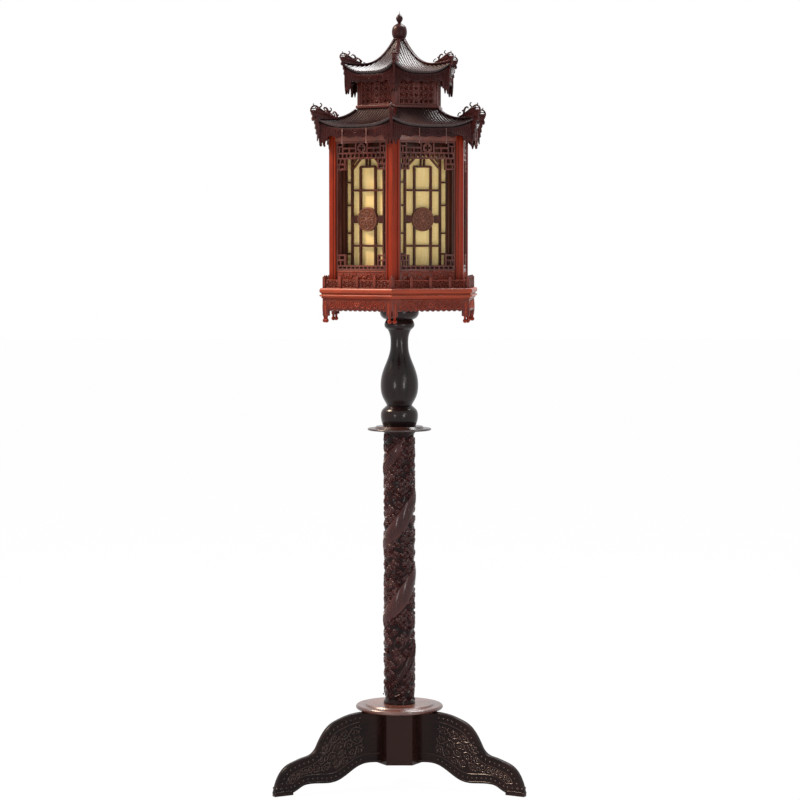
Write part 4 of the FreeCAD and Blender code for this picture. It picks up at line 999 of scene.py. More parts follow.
@dataclass
class Stand:
    """Three carved legs, the discs, the carved column, the turned baluster and the cup."""

    finishes: Finishes
    upper_line: float = 21.8
    upper_beads: float = 11.7
    lower_line: float = 22.5
    lower_beads: float = 13.0
    edge_line: float = 4.7
    bead_pitch: float = 12.5
    bead_radius: float = 2.5
    line_width: float = 2.4
    sole_height: float = 6.0
    vine_width: float = 3.0
    relief: float = 1.9
    plain_reach: float = 106.0

    def build(self) -> None:
        """Build and dress every piece of the stand."""
        for node, angle in LEG_ANGLES.items():
            self.leg(node, angle)
        self.column()
        wood = self.finishes.wood
        dress(["leg_left", "leg_right", "leg_rear", "leg_hub", "leg_soles"], wood("leg"))
        dress(["leg_dowels"], wood("hidden"))
        dress(["base_disc"], wood("disc"))
        dress(["cap_disc"], wood("cap"))
        dress(["baluster", "lantern_cup"], wood("baluster"))
        dress(["threaded_tube", "tube_nuts", "tube_washers"], self.finishes.other(ZINC))
        dress(["cable_grommet", "lampholder_cap", "lampholder_shell"], self.finishes.other(PHENOLIC))

    def outlines(self, node: str, angle: float) -> tuple[np.ndarray, np.ndarray]:
        """Upper and lower outline of a leg.

        Args:
            node: The leg.
            angle: Its direction.

        Returns:
            Both outlines as (distance from the axis, height) rows.
        """
        probe = Probe(node)
        a = math.radians(angle)
        upper = []
        lower = []
        for r in np.linspace(56, 337.5, 160):
            x, y = r * math.cos(a), r * math.sin(a)
            upper.append((r, probe.height(x, y, True)))
            lower.append((r, probe.height(x, y, False)))
        return np.array(upper), np.array(lower)

    @staticmethod
    def inset(line: np.ndarray, distance: float) -> np.ndarray:
        """Line at a distance to the right of another, as it is walked."""
        tangent = directions(line)
        return line + np.stack([tangent[:, 1], -tangent[:, 0]], 1) * distance

    @staticmethod
    def spaced(line: np.ndarray, pitch: float) -> np.ndarray:
        """Points at an even pitch along a line."""
        along = distances(line)
        stops = np.arange(pitch / 2, along[-1], pitch)
        return np.stack([np.interp(stops, along, line[:, 0]), np.interp(stops, along, line[:, 1])], 1)

    def leg(self, node: str, angle: float) -> None:
        """Carve both faces of a leg.

        Args:
            node: The leg.
            angle: Its direction.
        """
        upper, lower = self.outlines(node, angle)
        half = self.half_thickness(node, angle)
        high = self.inset(upper, self.upper_line)
        low = self.inset(lower, -self.lower_line)
        meet = self.meeting(high, low)
        high = high[(high[:, 0] < meet) & (high[:, 0] > self.plain_reach - 4)]
        low = low[(low[:, 0] < meet) & (low[:, 0] > 58)]
        toe = (high[-1] + low[-1]) / 2
        edge = self.inset(lower, -self.edge_line)
        edge = edge[edge[:, 1] > self.sole_height + 3.0]
        level = np.stack([np.linspace(edge[-1, 0], upper[-1, 0] - 3.0, 6),
                          np.full(6, self.sole_height + 3.0)], 1)
        beads = np.concatenate([self.spaced(self.inset(upper, self.upper_beads), self.bead_pitch),
                                self.spaced(self.inset(lower, -self.lower_beads), self.bead_pitch)])
        beads = beads[(beads[:, 0] > self.plain_reach) & (beads[:, 1] > self.sole_height + 8)]
        carving = Carving()
        for side in (-1, 1):
            ground = side_ground(angle, side, half)
            carving.strokes([
                Stroke(np.vstack([high[::3], toe]), self.line_width, 1.5),
                Stroke(np.vstack([low[::3], toe]), self.line_width, 1.5),
                Stroke(edge[::4], 1.3, 0.9),
                Stroke(level, 1.3, 0.9),
            ], ground)
            carving.beads(beads, self.bead_radius, ground, 0.9)
            carving.strokes(self.leg_vine(high, low), ground)
        # lines, beads and vine take the lighter relief wood: painted highlight on the raised carving
        carving.piece(f"{node}_carving", "stand", "stand_rosewood", self.finishes.wood("leg_relief"))

    @staticmethod
    def half_thickness(node: str, angle: float) -> float:
        """Half the thickness of a board leg, from its node's own points.

        Args:
            node: The leg.
            angle: Its direction.

        Returns:
            Half the thickness in millimetres.
        """
        a = math.radians(angle)
        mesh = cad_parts[node].data
        return max(-v.co.x * math.sin(a) + v.co.y * math.cos(a) for v in mesh.vertices) / MM

    @staticmethod
    def meeting(high: np.ndarray, low: np.ndarray) -> float:
        """Distance from the axis at which two lines of a leg cross near its toe."""
        r = np.linspace(240, 330, 91)
        gap = (np.interp(r, high[:, 0], high[:, 1], right=-1) - np.interp(r, low[:, 0], low[:, 1], right=99))
        crossed = np.nonzero(gap < 1.0)[0]
        return float(r[crossed[0]]) if len(crossed) else 300.0

    def leg_vine(self, high: np.ndarray, low: np.ndarray) -> list[Stroke]:
        """Foliage between the two lines of a leg.

        Args:
            high: Upper line of the field.
            low: Lower line of the field.

        Returns:
            Its strokes.
        """
        r = np.linspace(self.plain_reach, high[-1, 0] - 6, 60)
        top = np.interp(r, high[:, 0], high[:, 1])
        bottom = np.interp(r, low[:, 0], low[:, 1])
        middle = np.stack([r, (top + bottom) / 2], 1)
        room = (top - bottom) / 2
        found = []
        at = 0.0
        along = distances(middle)
        sense = 1
        while at < along[-1] - 8:
            half = float(np.interp(at, along, room)) * 0.86
            length = max(10.0, min(26.0, half * 1.3))
            half = float(np.interp(min(at + length / 2, along[-1]), along, room)) * 0.84
            rows = max(1, round(half / 11))
            for row in range(rows):
                offset = half * (2 * (row + 0.5) / rows - 1)
                found += moved(vine_bay(length, half / rows * 0.95, sense if row % 2 == 0 else -sense,
                                        min(self.vine_width, half * 0.4), self.relief), at, offset)
            at += length
            sense = -sense
        return bent(found, middle)

    def column(self) -> None:
        """Carve the column with a dragon winding up through clouds."""
        low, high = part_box("carved_column")
        column = CarvedColumn(low.z / MM, high.z / MM)
        # ground in the darker column wood, dragon and clouds in the lighter relief wood: painted shade on the
        # ground, painted highlight on the relief
        column.ground().piece("column_ground", "stand", "carved_column_wood", self.finishes.wood("column"),
                              ["carved_column"], 80.0)
        column.carving().piece("column_carving", "stand", "carved_column_wood",
                               self.finishes.wood("column_relief"))


@dataclass
class CarvedColumn:
    """Column with a coiling dragon in high relief among cloud scrolls."""

    foot: float
    head: float
    ground_radius: float = 34.2
    body_width: float = 36.0
    body_height: float = 4.8
    coils: float = 3.6
    cloud_size: float = 12.0
    cloud_spacing: float = 21.0
    seed: int = 7

    def winding(self, z: np.ndarray) -> np.ndarray:
        """Arc length round the column at which the dragon's back lies.

        Args:
            z: Heights.

        Returns:
            The arc lengths.
        """
        share = (z - self.foot) / (self.head - self.foot)
        turn = self.coils * share + 0.07 * np.sin(share * 23.0) - 0.66
        return turn * 2 * math.pi * self.ground_radius

    def ground(self) -> Carving:
        """Uneven ground left by the gouge, with a plain band at each end.

        Returns:
            The mesh.
        """
        rows, sides = 240, 96
        carving = Carving()
        turns = np.linspace(0, 2 * math.pi, sides + 1)[:-1]
        rings = []
        for z in np.linspace(self.foot, self.head, rows):
            band = min(z - self.foot, self.head - z)
            wave = (np.sin(turns * 3 + z * 0.11) * np.sin(turns * 2 - z * 0.07) * 1.5
                    + np.sin(turns * 7 - z * 0.29) * 0.4)
            r = np.where(band < 6.0, self.ground_radius + 3.4, self.ground_radius + wave)
            rings.append(np.stack([r * np.cos(turns), r * np.sin(turns), np.full(sides, z)], 1))
        carving.rings(np.array(rings))
        return carving

    def carving(self) -> Carving:
        """Dragon and clouds.

        Returns:
            The mesh.
        """
        carving = Carving()
        ground = RoundGround(self.ground_radius)
        carving.strokes(self.dragon(), ground, 1.0)
        heights = np.arange(self.foot + 22, self.head - 60, 7.0)
        spine = np.stack([self.winding(heights), heights], 1)
        carving.beads(spine, 2.3, ground, 0.9, self.body_height - 1.4)
        for u, v, size, sense, tilt in self.cloud_places():
            carving.strokes(self.cloud(u, v, size, sense, tilt), ground, 1.0)
            for du, dv, share in ((-0.5, 0.0, 0.52), (0.1, 0.42, 0.44), (0.55, -0.05, 0.48),
                                  (0.0, -0.5, 0.4)):
                at = np.array([(u + du * size * sense, v + dv * size)])
                carving.beads(at, size * share, ground, 0.5, -0.4)
        return carving

    def dragon(self) -> list[Stroke]:
        """Body, scales, claws, mane and horns.

        Returns:
            Their strokes.
        """
        z = np.linspace(self.foot + 12, self.head - 46, 150)
        back = np.stack([self.winding(z), z], 1)
        found = [Stroke(back, self.body_width, self.body_height, (0.1, 0.8))]
        tangent = directions(back)
        side = np.stack([-tangent[:, 1], tangent[:, 0]], 1)
        for k in range(6, len(z) - 4):
            offsets = np.linspace(-0.8, 0.8, 7)
            path = np.array([back[k] + side[k] * o * self.body_width / 2
                             + tangent[k] * (2.2 * abs(math.sin(o * math.pi * 1.9))) for o in offsets])
            lift = self.body_height * np.sqrt(np.maximum(0, 1 - (offsets * 0.95) ** 2)) - 0.5
            found.append(Stroke(path, 1.6, 1.0, (0.6, 0.6), lift))
        for share in (0.22, 0.40, 0.60, 0.80):
            k = int(share * len(z))
            for way in (-1, 1):
                found += self.claw(back[k], side[k] * way, tangent[k])
        return found + self.head_strokes(back[-1], tangent[-1])

    def claw(self, at: np.ndarray, out: np.ndarray, along: np.ndarray) -> list[Stroke]:
        """One leg with four claws.

        Args:
            at: Where it leaves the body.
            out: Direction away from the body.
            along: Direction of the body.

        Returns:
            Its strokes.
        """
        knee = at + out * 21 + along * 5
        foot = knee + along * 15 + out * 4
        found = [Stroke(np.array([at + out * 8, at + out * 14 + along * 4, knee]), 10.0, 4.2, (1.0, 0.8)),
                 Stroke(np.array([knee - along, knee + along * 7 + out * 2, foot]), 7.5, 4.0, (1.0, 0.7))]
        for k in range(4):
            a = math.radians(-60 + 40 * k)
            way = along * math.cos(a) + out * math.sin(a)
            hook = foot + way * 12 + np.array([way[1], -way[0]]) * 3
            found.append(Stroke(np.array([foot, foot + way * 7, hook]), 3.2, 3.6, (1.0, 0.2)))
        return found

    def head_strokes(self, at: np.ndarray, along: np.ndarray) -> list[Stroke]:
        """Beast's head in profile with mane, horns and whiskers.

        Args:
            at: Where the neck ends.
            along: Direction of the neck.

        Returns:
            Its strokes.
        """
        def to(a: float, b: float) -> np.ndarray:
            """Point a along the neck and b across it."""
            return at + along * a + np.array([-along[1], along[0]]) * b

        found = [
            Stroke(np.array([to(-6, 0), to(6, 1), to(16, 2)]), 25.0, 4.8, (0.9, 0.7)),
            Stroke(np.array([to(12, 3), to(23, 4), to(31, 6), to(34, 11)]), 10.0, 4.6, (1.0, 0.4)),
            Stroke(np.array([to(11, -5), to(20, -8), to(28, -7)]), 6.0, 4.0, (1.0, 0.4)),
            Stroke(np.array([to(9, 9), to(2, 15), to(-8, 18), to(-18, 15)]), 4.4, 4.4, (1.0, 0.2)),
            Stroke(np.array([to(13, 10), to(8, 19), to(0, 24), to(-12, 25)]), 3.6, 4.2, (1.0, 0.2)),
            Stroke(np.array([to(30, 3), to(37, -5), to(35, -17), to(26, -22)]), 2.6, 3.6, (1.0, 0.2)),
        ]
        for k in range(7):
            b = -12 + 3.8 * k
            lock = np.array([to(0, b), to(-10, b * 1.25), to(-19, b * 1.2 + 3), to(-28, b * 1.5)])
            found.append(Stroke(lock, 3.4, 4.4, (1.0, 0.15)))
        return found

    def cloud_places(self) -> list[tuple[float, float, float, int, float]]:
        """Places of the clouds on the ground that the dragon leaves free.

        Returns:
            Rows of place round the column, height, size, sense and slope.
        """
        draw = random.Random(self.seed)
        round_length = 2 * math.pi * self.ground_radius

        def way(here: float, there: float) -> float:
            """Shorter way round the column from there to here."""
            return (here - there + round_length / 2) % round_length - round_length / 2

        found: list[tuple[float, float, float, int, float]] = []
        for _ in range(6000):
            u = draw.uniform(0, round_length)
            v = draw.uniform(self.foot + 11, self.head - 11)
            size = self.cloud_size * draw.uniform(0.7, 1.3)
            if any(math.hypot(way(u, a), v - b) < self.cloud_spacing * 0.85 for a, b, *_ in found):
                continue
            away = way(u, float(self.winding(np.array([v]))[0]))
            if abs(away) < self.body_width * 0.6 and v < self.head - 40:
                continue
            found.append((u, v, size, draw.choice((-1, 1)), draw.uniform(-40, 40)))
        return found

    @staticmethod
    def cloud(u: float, v: float, size: float, sense: int, tilt: float) -> list[Stroke]:
        """One cloud: two curls that meet, a brow over them and a trailing wisp.

        Args:
            u: Its place round the column.
            v: Its height.
            size: Radius of its larger curl.
            sense: Which way it trails.
            tilt: Its slope in degrees.

        Returns:
            Its strokes.
        """
        a = math.radians(tilt)
        turn = np.array([[math.cos(a), math.sin(a)], [-math.sin(a), math.cos(a)]])
        local = [
            Stroke(spiral((-size * 0.5, 0), size * 0.52, 1.3, 90, 1), size * 0.22, 3.8, (1.0, 0.8)),
            Stroke(spiral((size * 0.55, 0), size * 0.42, 1.2, 90, -1), size * 0.2, 3.4, (1.0, 0.8)),
            Stroke(arc((-size * 0.95, size * 0.3), (size * 0.9, size * 0.35), -size * 0.38),
                   size * 0.22, 3.0, (0.3, 0.3)),
            Stroke(arc((-size * 0.2, -size * 0.5), (-size * 1.6, -size * 0.9), size * 0.22),
                   size * 0.26, 2.8, (1.0, 0.15)),
            Stroke(arc((size * 0.4, -size * 0.4), (-size * 0.8, -size * 1.15), size * 0.15),
                   size * 0.22, 2.4, (1.0, 0.15)),
        ]
        return [replace(s, path=(s.path * (sense, 1)) @ turn + (u, v)) for s in local]


# ================================================================ lantern body

@dataclass
class LanternBody:
    """Tray, railing, outer fretwork, inner screens and the silk behind them."""

    finishes: Finishes
    screens: int = 6
    rib_pitch: float = 3.4
    rib_depth: float = 0.5
    medallion_height: float = 160.0
    medallion_radius: float = 28.0
    post_corner: float = 198.0
    skirt_corner: float = 181.0
    screen_setback: float = 27.0

    def build(self) -> None:
        """Build and dress every piece of the lantern's body."""
        wood = self.finishes.wood
        dress(["tray_rails"], wood("rail"))
        # aprons and skirt panels take the darker railing wood under carving in the lighter rail wood: painted
        # shade on the ground
        for node, width, key in (
                ("aprons", 0.7, "railing"), ("railing_posts", 0.7, "railing"), ("body_posts", 1.3, "post"),
                ("skirt_panels", 0.6, "railing"), ("top_beams", 0.8, "fret"), ("screen_posts", 0.8, "screen"),
                ("ceiling_ring", 0.6, "hidden"), ("floor_board", 0.6, "hidden")):
            eased(node, width, "lantern", wood(key))
        dress(["apron_drops"], wood("post"))
        for k in range(1, self.screens + 1):
            eased(f"fret_panel_{k}", 0.55, "lantern", wood("fret"))
            eased(f"lattice_screen_{k}", 0.5, "lantern", wood("screen"))
        self.apron_carving()
        self.railing()
        self.skirt_carving()
        self.medallions()
        self.lining()

    def apron_carving(self) -> None:
        """Scrolling vine on each apron, and a leaf on each foot block."""
        tray_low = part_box("tray_rails")[0].z / MM
        apothem = self.post_corner * COS30
        carving = Carving()
        for angle in FACE_ANGLES:
            ground = face_ground(angle, apothem)
            band = vine_band(79.0, 10.5, 4, 2.3, 1.5)
            carving.strokes(moved(band, 0, tray_low - 14.5), ground)
            border = np.stack([np.linspace(-80, 80, 49), np.full(49, tray_low - 2.2)], 1)
            carving.strokes([Stroke(border, 1.6, 1.0)], ground)
            for side in (-1, 1):
                foot = side * (apothem * TAN30 - 9.0)
                leaf = [Stroke(arc((foot, tray_low - 6), (foot, tray_low - 38), 0.0), 5.0, 1.4, (0.3, 0.3))]
                for way in (-1, 1):
                    lobe = arc((foot + 4.5 * way, tray_low - 10), (foot + 2 * way, tray_low - 34), -1.4 * way)
                    leaf.append(Stroke(lobe, 2.0, 1.2, (0.2, 0.2)))
                carving.strokes(leaf, ground)
        # the vine and leaves take the lighter rail wood over the darker apron: painted highlight on the
        # relief
        carving.piece("apron_carving", "lantern", "lantern_rosewood", self.finishes.wood("rail"))

    def railing(self) -> None:
        """Curled openwork between the railing posts, cut right through."""
        low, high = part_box("railing_panels")
        foot, head = low.z / MM, high.z / MM
        middle = (foot + head) / 2
        post = 7.0
        rail = 2.4
        depth = 2.6
        ground_at = self.post_corner * COS30 - 2.7
        half = self.post_corner / 2
        stops = [-half + post / 2, -half / 2, 0.0, half / 2, half - post / 2]
        strokes = []
        for left, right in zip(stops, stops[1:]):
            start, end = left + post / 2, right - post / 2
            for up in (foot + rail / 2, head - rail / 2):
                bar = np.array([(start, up), ((start + end) / 2, up), (end, up)])
                strokes.append(Stroke(bar, rail, 1.0))
            curls = 4
            length = (end - start) / curls
            for k in range(curls):
                curl = vine_bay(length, (head - foot) / 2 - rail * 0.6, 1 if k % 2 else -1, 1.9, 1.0)
                strokes += moved(curl, start + k * length, middle)
        carving = Carving()
        for angle in FACE_ANGLES:
            carving.strokes(strokes, face_ground(angle, ground_at), depth)
        carving.piece("railing_tracery", "lantern", "lantern_rosewood", self.finishes.wood("railing"),
                      ["railing_panels"])

    def skirt_carving(self) -> None:
        """Vine in a plain frame on each skirt panel."""
        low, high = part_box("skirt_panels")
        apothem = self.skirt_corner * COS30 - 3.0
        middle = (low.z + high.z) / 2 / MM
        half_up = (high.z - low.z) / 2 / MM
        carving = Carving()
        for angle in FACE_ANGLES:
            ground = face_ground(angle, apothem)
            carving.strokes(moved(vine_band(66.0, half_up * 0.78, 3, 3.0, 1.7), 0, middle + 1.0), ground)
            for up in (high.z / MM - 1.8, low.z / MM + 1.8):
                line = np.stack([np.linspace(-70, 70, 15), np.full(15, up)], 1)
                carving.strokes([Stroke(line, 1.8, 1.3)], ground)
        # the vine and frame take the lighter rail wood over the darker skirt panel: painted highlight on the
        # relief
        carving.piece("skirt_carving", "lantern", "lantern_rosewood", self.finishes.wood("rail"))

    def medallions(self) -> None:
        """Raised rim and petals on the medallion of each screen."""
        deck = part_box("skirt_panels")[0].z / MM
        centre = deck + self.medallion_height
        apothem = self.skirt_corner * COS30 - self.screen_setback
        r = self.medallion_radius
        turns = np.linspace(0, 2 * math.pi, 49)
        field_height = 0.9
        curls = []
        for k in range(6):
            a = math.radians(60 * k + 30)
            heart = (r * 0.56 * math.cos(a), r * 0.56 * math.sin(a))
            curl = spiral(heart, r * 0.25, 1.3, 60 * k + 120, 1 if k % 2 else -1)
            curls.append(Stroke(curl, 2.6, 1.7, (1.0, 0.6), field_height))
        carving = Carving()
        field = Carving()
        for angle in FACE_ANGLES:
            ground = face_ground(angle, apothem)
            disc = np.stack([r * 0.9 * np.cos(turns[:-1]), centre + r * 0.9 * np.sin(turns[:-1])], 1)
            field.plate(disc, field_height * 2, ground)
            rim = np.stack([r * 0.93 * np.cos(turns), centre + r * 0.93 * np.sin(turns)], 1)
            carving.strokes([Stroke(rim, 3.2, 2.2)], ground)
            carving.strokes(moved(flower(r * 0.3, 6, 4.4, 2.6), 0, centre), ground)
            carving.strokes(moved(curls, 0, centre), ground)
            carving.beads(np.array([(0, centre)]), 3.6, ground, 1.0, field_height)
        # relief in the lighter medallion wood on a field plate of the darker screen wood: painted highlight
        # on the relief, painted shade on the field
        carving.piece("medallion_carving", "lantern", "lantern_rosewood", self.finishes.wood("medallion"))
        field.piece("medallion_fields", "lantern", "lantern_rosewood", self.finishes.wood("screen"))

    def lining(self) -> None:
        """Six sheets of ribbed silk behind the screens."""
        low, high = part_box("fabric_lining")
        screen = self.skirt_corner * COS30 - self.screen_setback
        apothem = screen - 6.0 - 0.7
        half = screen * TAN30 - 10.0 - 2.0
        for k, angle in enumerate(FACE_ANGLES):
            ground = face_ground(angle, apothem)
            across = np.arange(-half, half + 0.01, self.rib_pitch / 6)
            depth = -self.rib_depth * 0.5 * (1 - np.cos(2 * math.pi * across / self.rib_pitch))
            rows = np.linspace(low.z / MM, high.z / MM, 12)
            points = []
            for z in rows:
                place, normal = ground.lift(np.stack([across, np.full(len(across), z)], 1))
                points.append(place + normal * depth[:, None])
            n = len(across)
            carving = Carving()
            carving.add(np.concatenate(points), [
                (i * n + j, i * n + j + 1, (i + 1) * n + j + 1, (i + 1) * n + j)
                for i in range(len(rows) - 1) for j in range(n - 1)])
            piece = carving.piece(f"silk_sheet_{k + 1}", "lantern", "lining_silk", self.finishes.other(SILK),
                                  ["fabric_lining"], 80.0)


# ================================================================ roof

@dataclass
class TiledRoof:
    """One layer of the roof: ribbed tiles, ridges, valances and beast heads."""

    finishes: Finishes
    layer: str
    tip_radius: float
    inner: float
    rib_pitch: float
    head_length: float
    head_height: float
    head_setback: float
    beard_drop: float
    rib_height: float = 1.5
    thickness: float = 6.5
    lip_height: float = 2.4
    lip_recess: float = 5.5
    setback: float = 6.0

    def build(self) -> None:
        """Build and dress every piece of this layer."""
        self.tiles()
        eased(f"{self.layer}_ridges", 1.8, "roof", self.finishes.wood("roof"))
        eased(f"{self.layer}_valances", 0.5, "roof", self.finishes.wood("roof"))
        self.valance_carving()
        self.heads()

    def eave(self, probe: Probe, across: float) -> float:
        """Distance of the eave from the axis at one place of a face.

        Args:
            probe: Of the roof's node.
            across: Place on the face.

        Returns:
            Distance along the face's normal.
        """
        a = math.radians(FACE_ANGLES[0])
        near, far = self.tip_radius * COS30 * 0.9, self.tip_radius
        for _ in range(16):
            middle = (near + far) / 2
            x = middle * math.cos(a) - across * math.sin(a)
            y = middle * math.sin(a) + across * math.cos(a)
            if probe.height(x, y) is None:
                far = middle
            else:
                near = middle
        return near

    def tiles(self) -> None:
        """Six faces of ribs and hollows that run straight down to the eave."""
        probe = Probe(f"{self.layer}_roof")
        outer_half = self.tip_radius * COS30 * TAN30
        shares = (-0.5, -0.3, -0.18, 0.0, 0.18, 0.3)
        lifts = (0.0, 0.0, 0.8, 1.0, 0.8, 0.0)
        ribs = int(outer_half / self.rib_pitch)
        across: list[float] = []
        lift: list[float] = []
        for k in range(-ribs, ribs + 1):
            for s, h in zip(shares, lifts):
                y = (k + s) * self.rib_pitch
                if abs(y) < outer_half - 0.4:
                    across.append(y)
                    lift.append(h * self.rib_height)
        edge = outer_half - 0.3
        across = [-edge] + across + [edge]
        lift = [0.0] + lift + [0.0]
        ends = [self.eave(probe, y) for y in across]
        rows = 26
        a = math.radians(FACE_ANGLES[0])
        grid = np.zeros((len(across), rows, 3))
        for i, (y, end) in enumerate(zip(across, ends)):
            start = max(self.inner + 0.05, abs(y) / TAN30 + 0.02)
            start = min(start, end - 0.3)
            for j in range(rows):
                x = start + (end - 0.02 - start) * j / (rows - 1)
                z = probe.height(x * math.cos(a) - y * math.sin(a), x * math.sin(a) + y * math.cos(a))
                grid[i, j] = (x, y, z if z is not None else grid[i, j - 1, 2])
        top = grid.copy()
        top[:, :, 2] += np.array(lift)[:, None]
        bottom = grid.copy()
        bottom[:, :, 2] -= self.thickness
        bottom[:, -1, 0] -= self.lip_recess
        n, m = len(across), rows
        faces = []
        for i in range(n - 1):
            for j in range(m - 1):
                q = (i * m + j, (i + 1) * m + j, (i + 1) * m + j + 1, i * m + j + 1)
                faces.append(q)
                faces.append(tuple(k + n * m for k in reversed(q)))
        rim = ([i * m for i in range(n)] + [(n - 1) * m + j for j in range(1, m)]
               + [i * m + m - 1 for i in range(n - 2, -1, -1)] + [j for j in range(m - 2, 0, -1)])
        lip = top.reshape(-1, 3)[rim] - (0, 0, self.lip_height)
        for k, (p, q) in enumerate(zip(rim, rim[1:] + rim[:1])):
            u, v = 2 * n * m + k, 2 * n * m + (k + 1) % len(rim)
            faces += [(p, q, v, u), (u, v, q + n * m, p + n * m)]
        carving = Carving()
        for angle in FACE_ANGLES:
            b = math.radians(angle)
            turn = np.array([[math.cos(b), math.sin(b), 0], [-math.sin(b), math.cos(b), 0], [0, 0, 1]])
            carving.add(np.concatenate([top.reshape(-1, 3), bottom.reshape(-1, 3), lip]) @ turn, faces)
        carving.piece(f"{self.layer}_tiles", "roof", "roof_wood", self.finishes.wood("tile"),
                      [f"{self.layer}_roof"], 60.0)

    def valance_carving(self) -> None:
        """Hanging leaves at the ends of each valance and a vine between them."""
        probe = Probe(f"{self.layer}_valances")
        apothem = self.tip_radius * COS30 - self.setback
        half = apothem * TAN30
        ground = face_ground(FACE_ANGLES[0], apothem)
        edge = []
        for u in np.linspace(-half + 1.2, half - 1.2, 121):
            found = probe.span(ground, float(u), 2.5)
            if found:
                edge.append((float(u), *found))
        line = np.array(edge)
        strokes = []
        count = 9
        for side in (-1, 1):
            for k in range(count):
                u = side * half * (0.985 - 0.42 * k / (count - 1))
                low = float(np.interp(u, line[:, 0], line[:, 1]))
                high = float(np.interp(u, line[:, 0], line[:, 2]))
                lean = side * 1.5
                strokes.append(Stroke(arc((u, high - 2.5), (u + lean * 0.4, low + 1.0), lean * 0.5, 7),
                                      half * 0.045, 1.6, (0.45, 0.12)))
                rib = arc((u - side * half * 0.025, high - 5), (u - side * half * 0.02, low + 7), 0.3, 5)
                strokes.append(Stroke(rib, half * 0.02, 1.2, (0.3, 0.1)))
        middle = np.linspace(-half * 0.5, half * 0.5, 31)
        crown = np.stack([middle, (np.interp(middle, line[:, 0], line[:, 1])
                                   + np.interp(middle, line[:, 0], line[:, 2])) / 2], 1)
        depth = float(np.interp(0, line[:, 0], line[:, 2]) - np.interp(0, line[:, 0], line[:, 1]))
        strokes += bent(moved(vine_band(half * 0.5, depth * 0.40, 3, 2.2, 1.5), half * 0.5, 0), crown)
        carving = Carving()
        for angle in FACE_ANGLES:
            carving.strokes(strokes, face_ground(angle, apothem))
        carving.piece(f"{self.layer}_valance_carving", "roof", "roof_wood", self.finishes.wood("roof"))

    def heads(self) -> None:
        """Beast head with curls at the end of each ridge."""
        probe = Probe(f"{self.layer}_ridges")
        a = math.radians(CORNER_ANGLES[0])
        root = self.tip_radius - 36.0
        seat = probe.height(root * math.cos(a), root * math.sin(a))
        head = BeastHead(self.tip_radius - self.head_setback, seat, self.head_length / 50.0,
                         self.head_height / 31.0, self.beard_drop)
        carving = Carving()
        for angle in CORNER_ANGLES:
            head.build(carving, angle)
        carving.piece(f"{self.layer}_beast_heads", "roof", "roof_wood", self.finishes.wood("roof"),
                      [f"{self.layer}_heads"], 60.0)


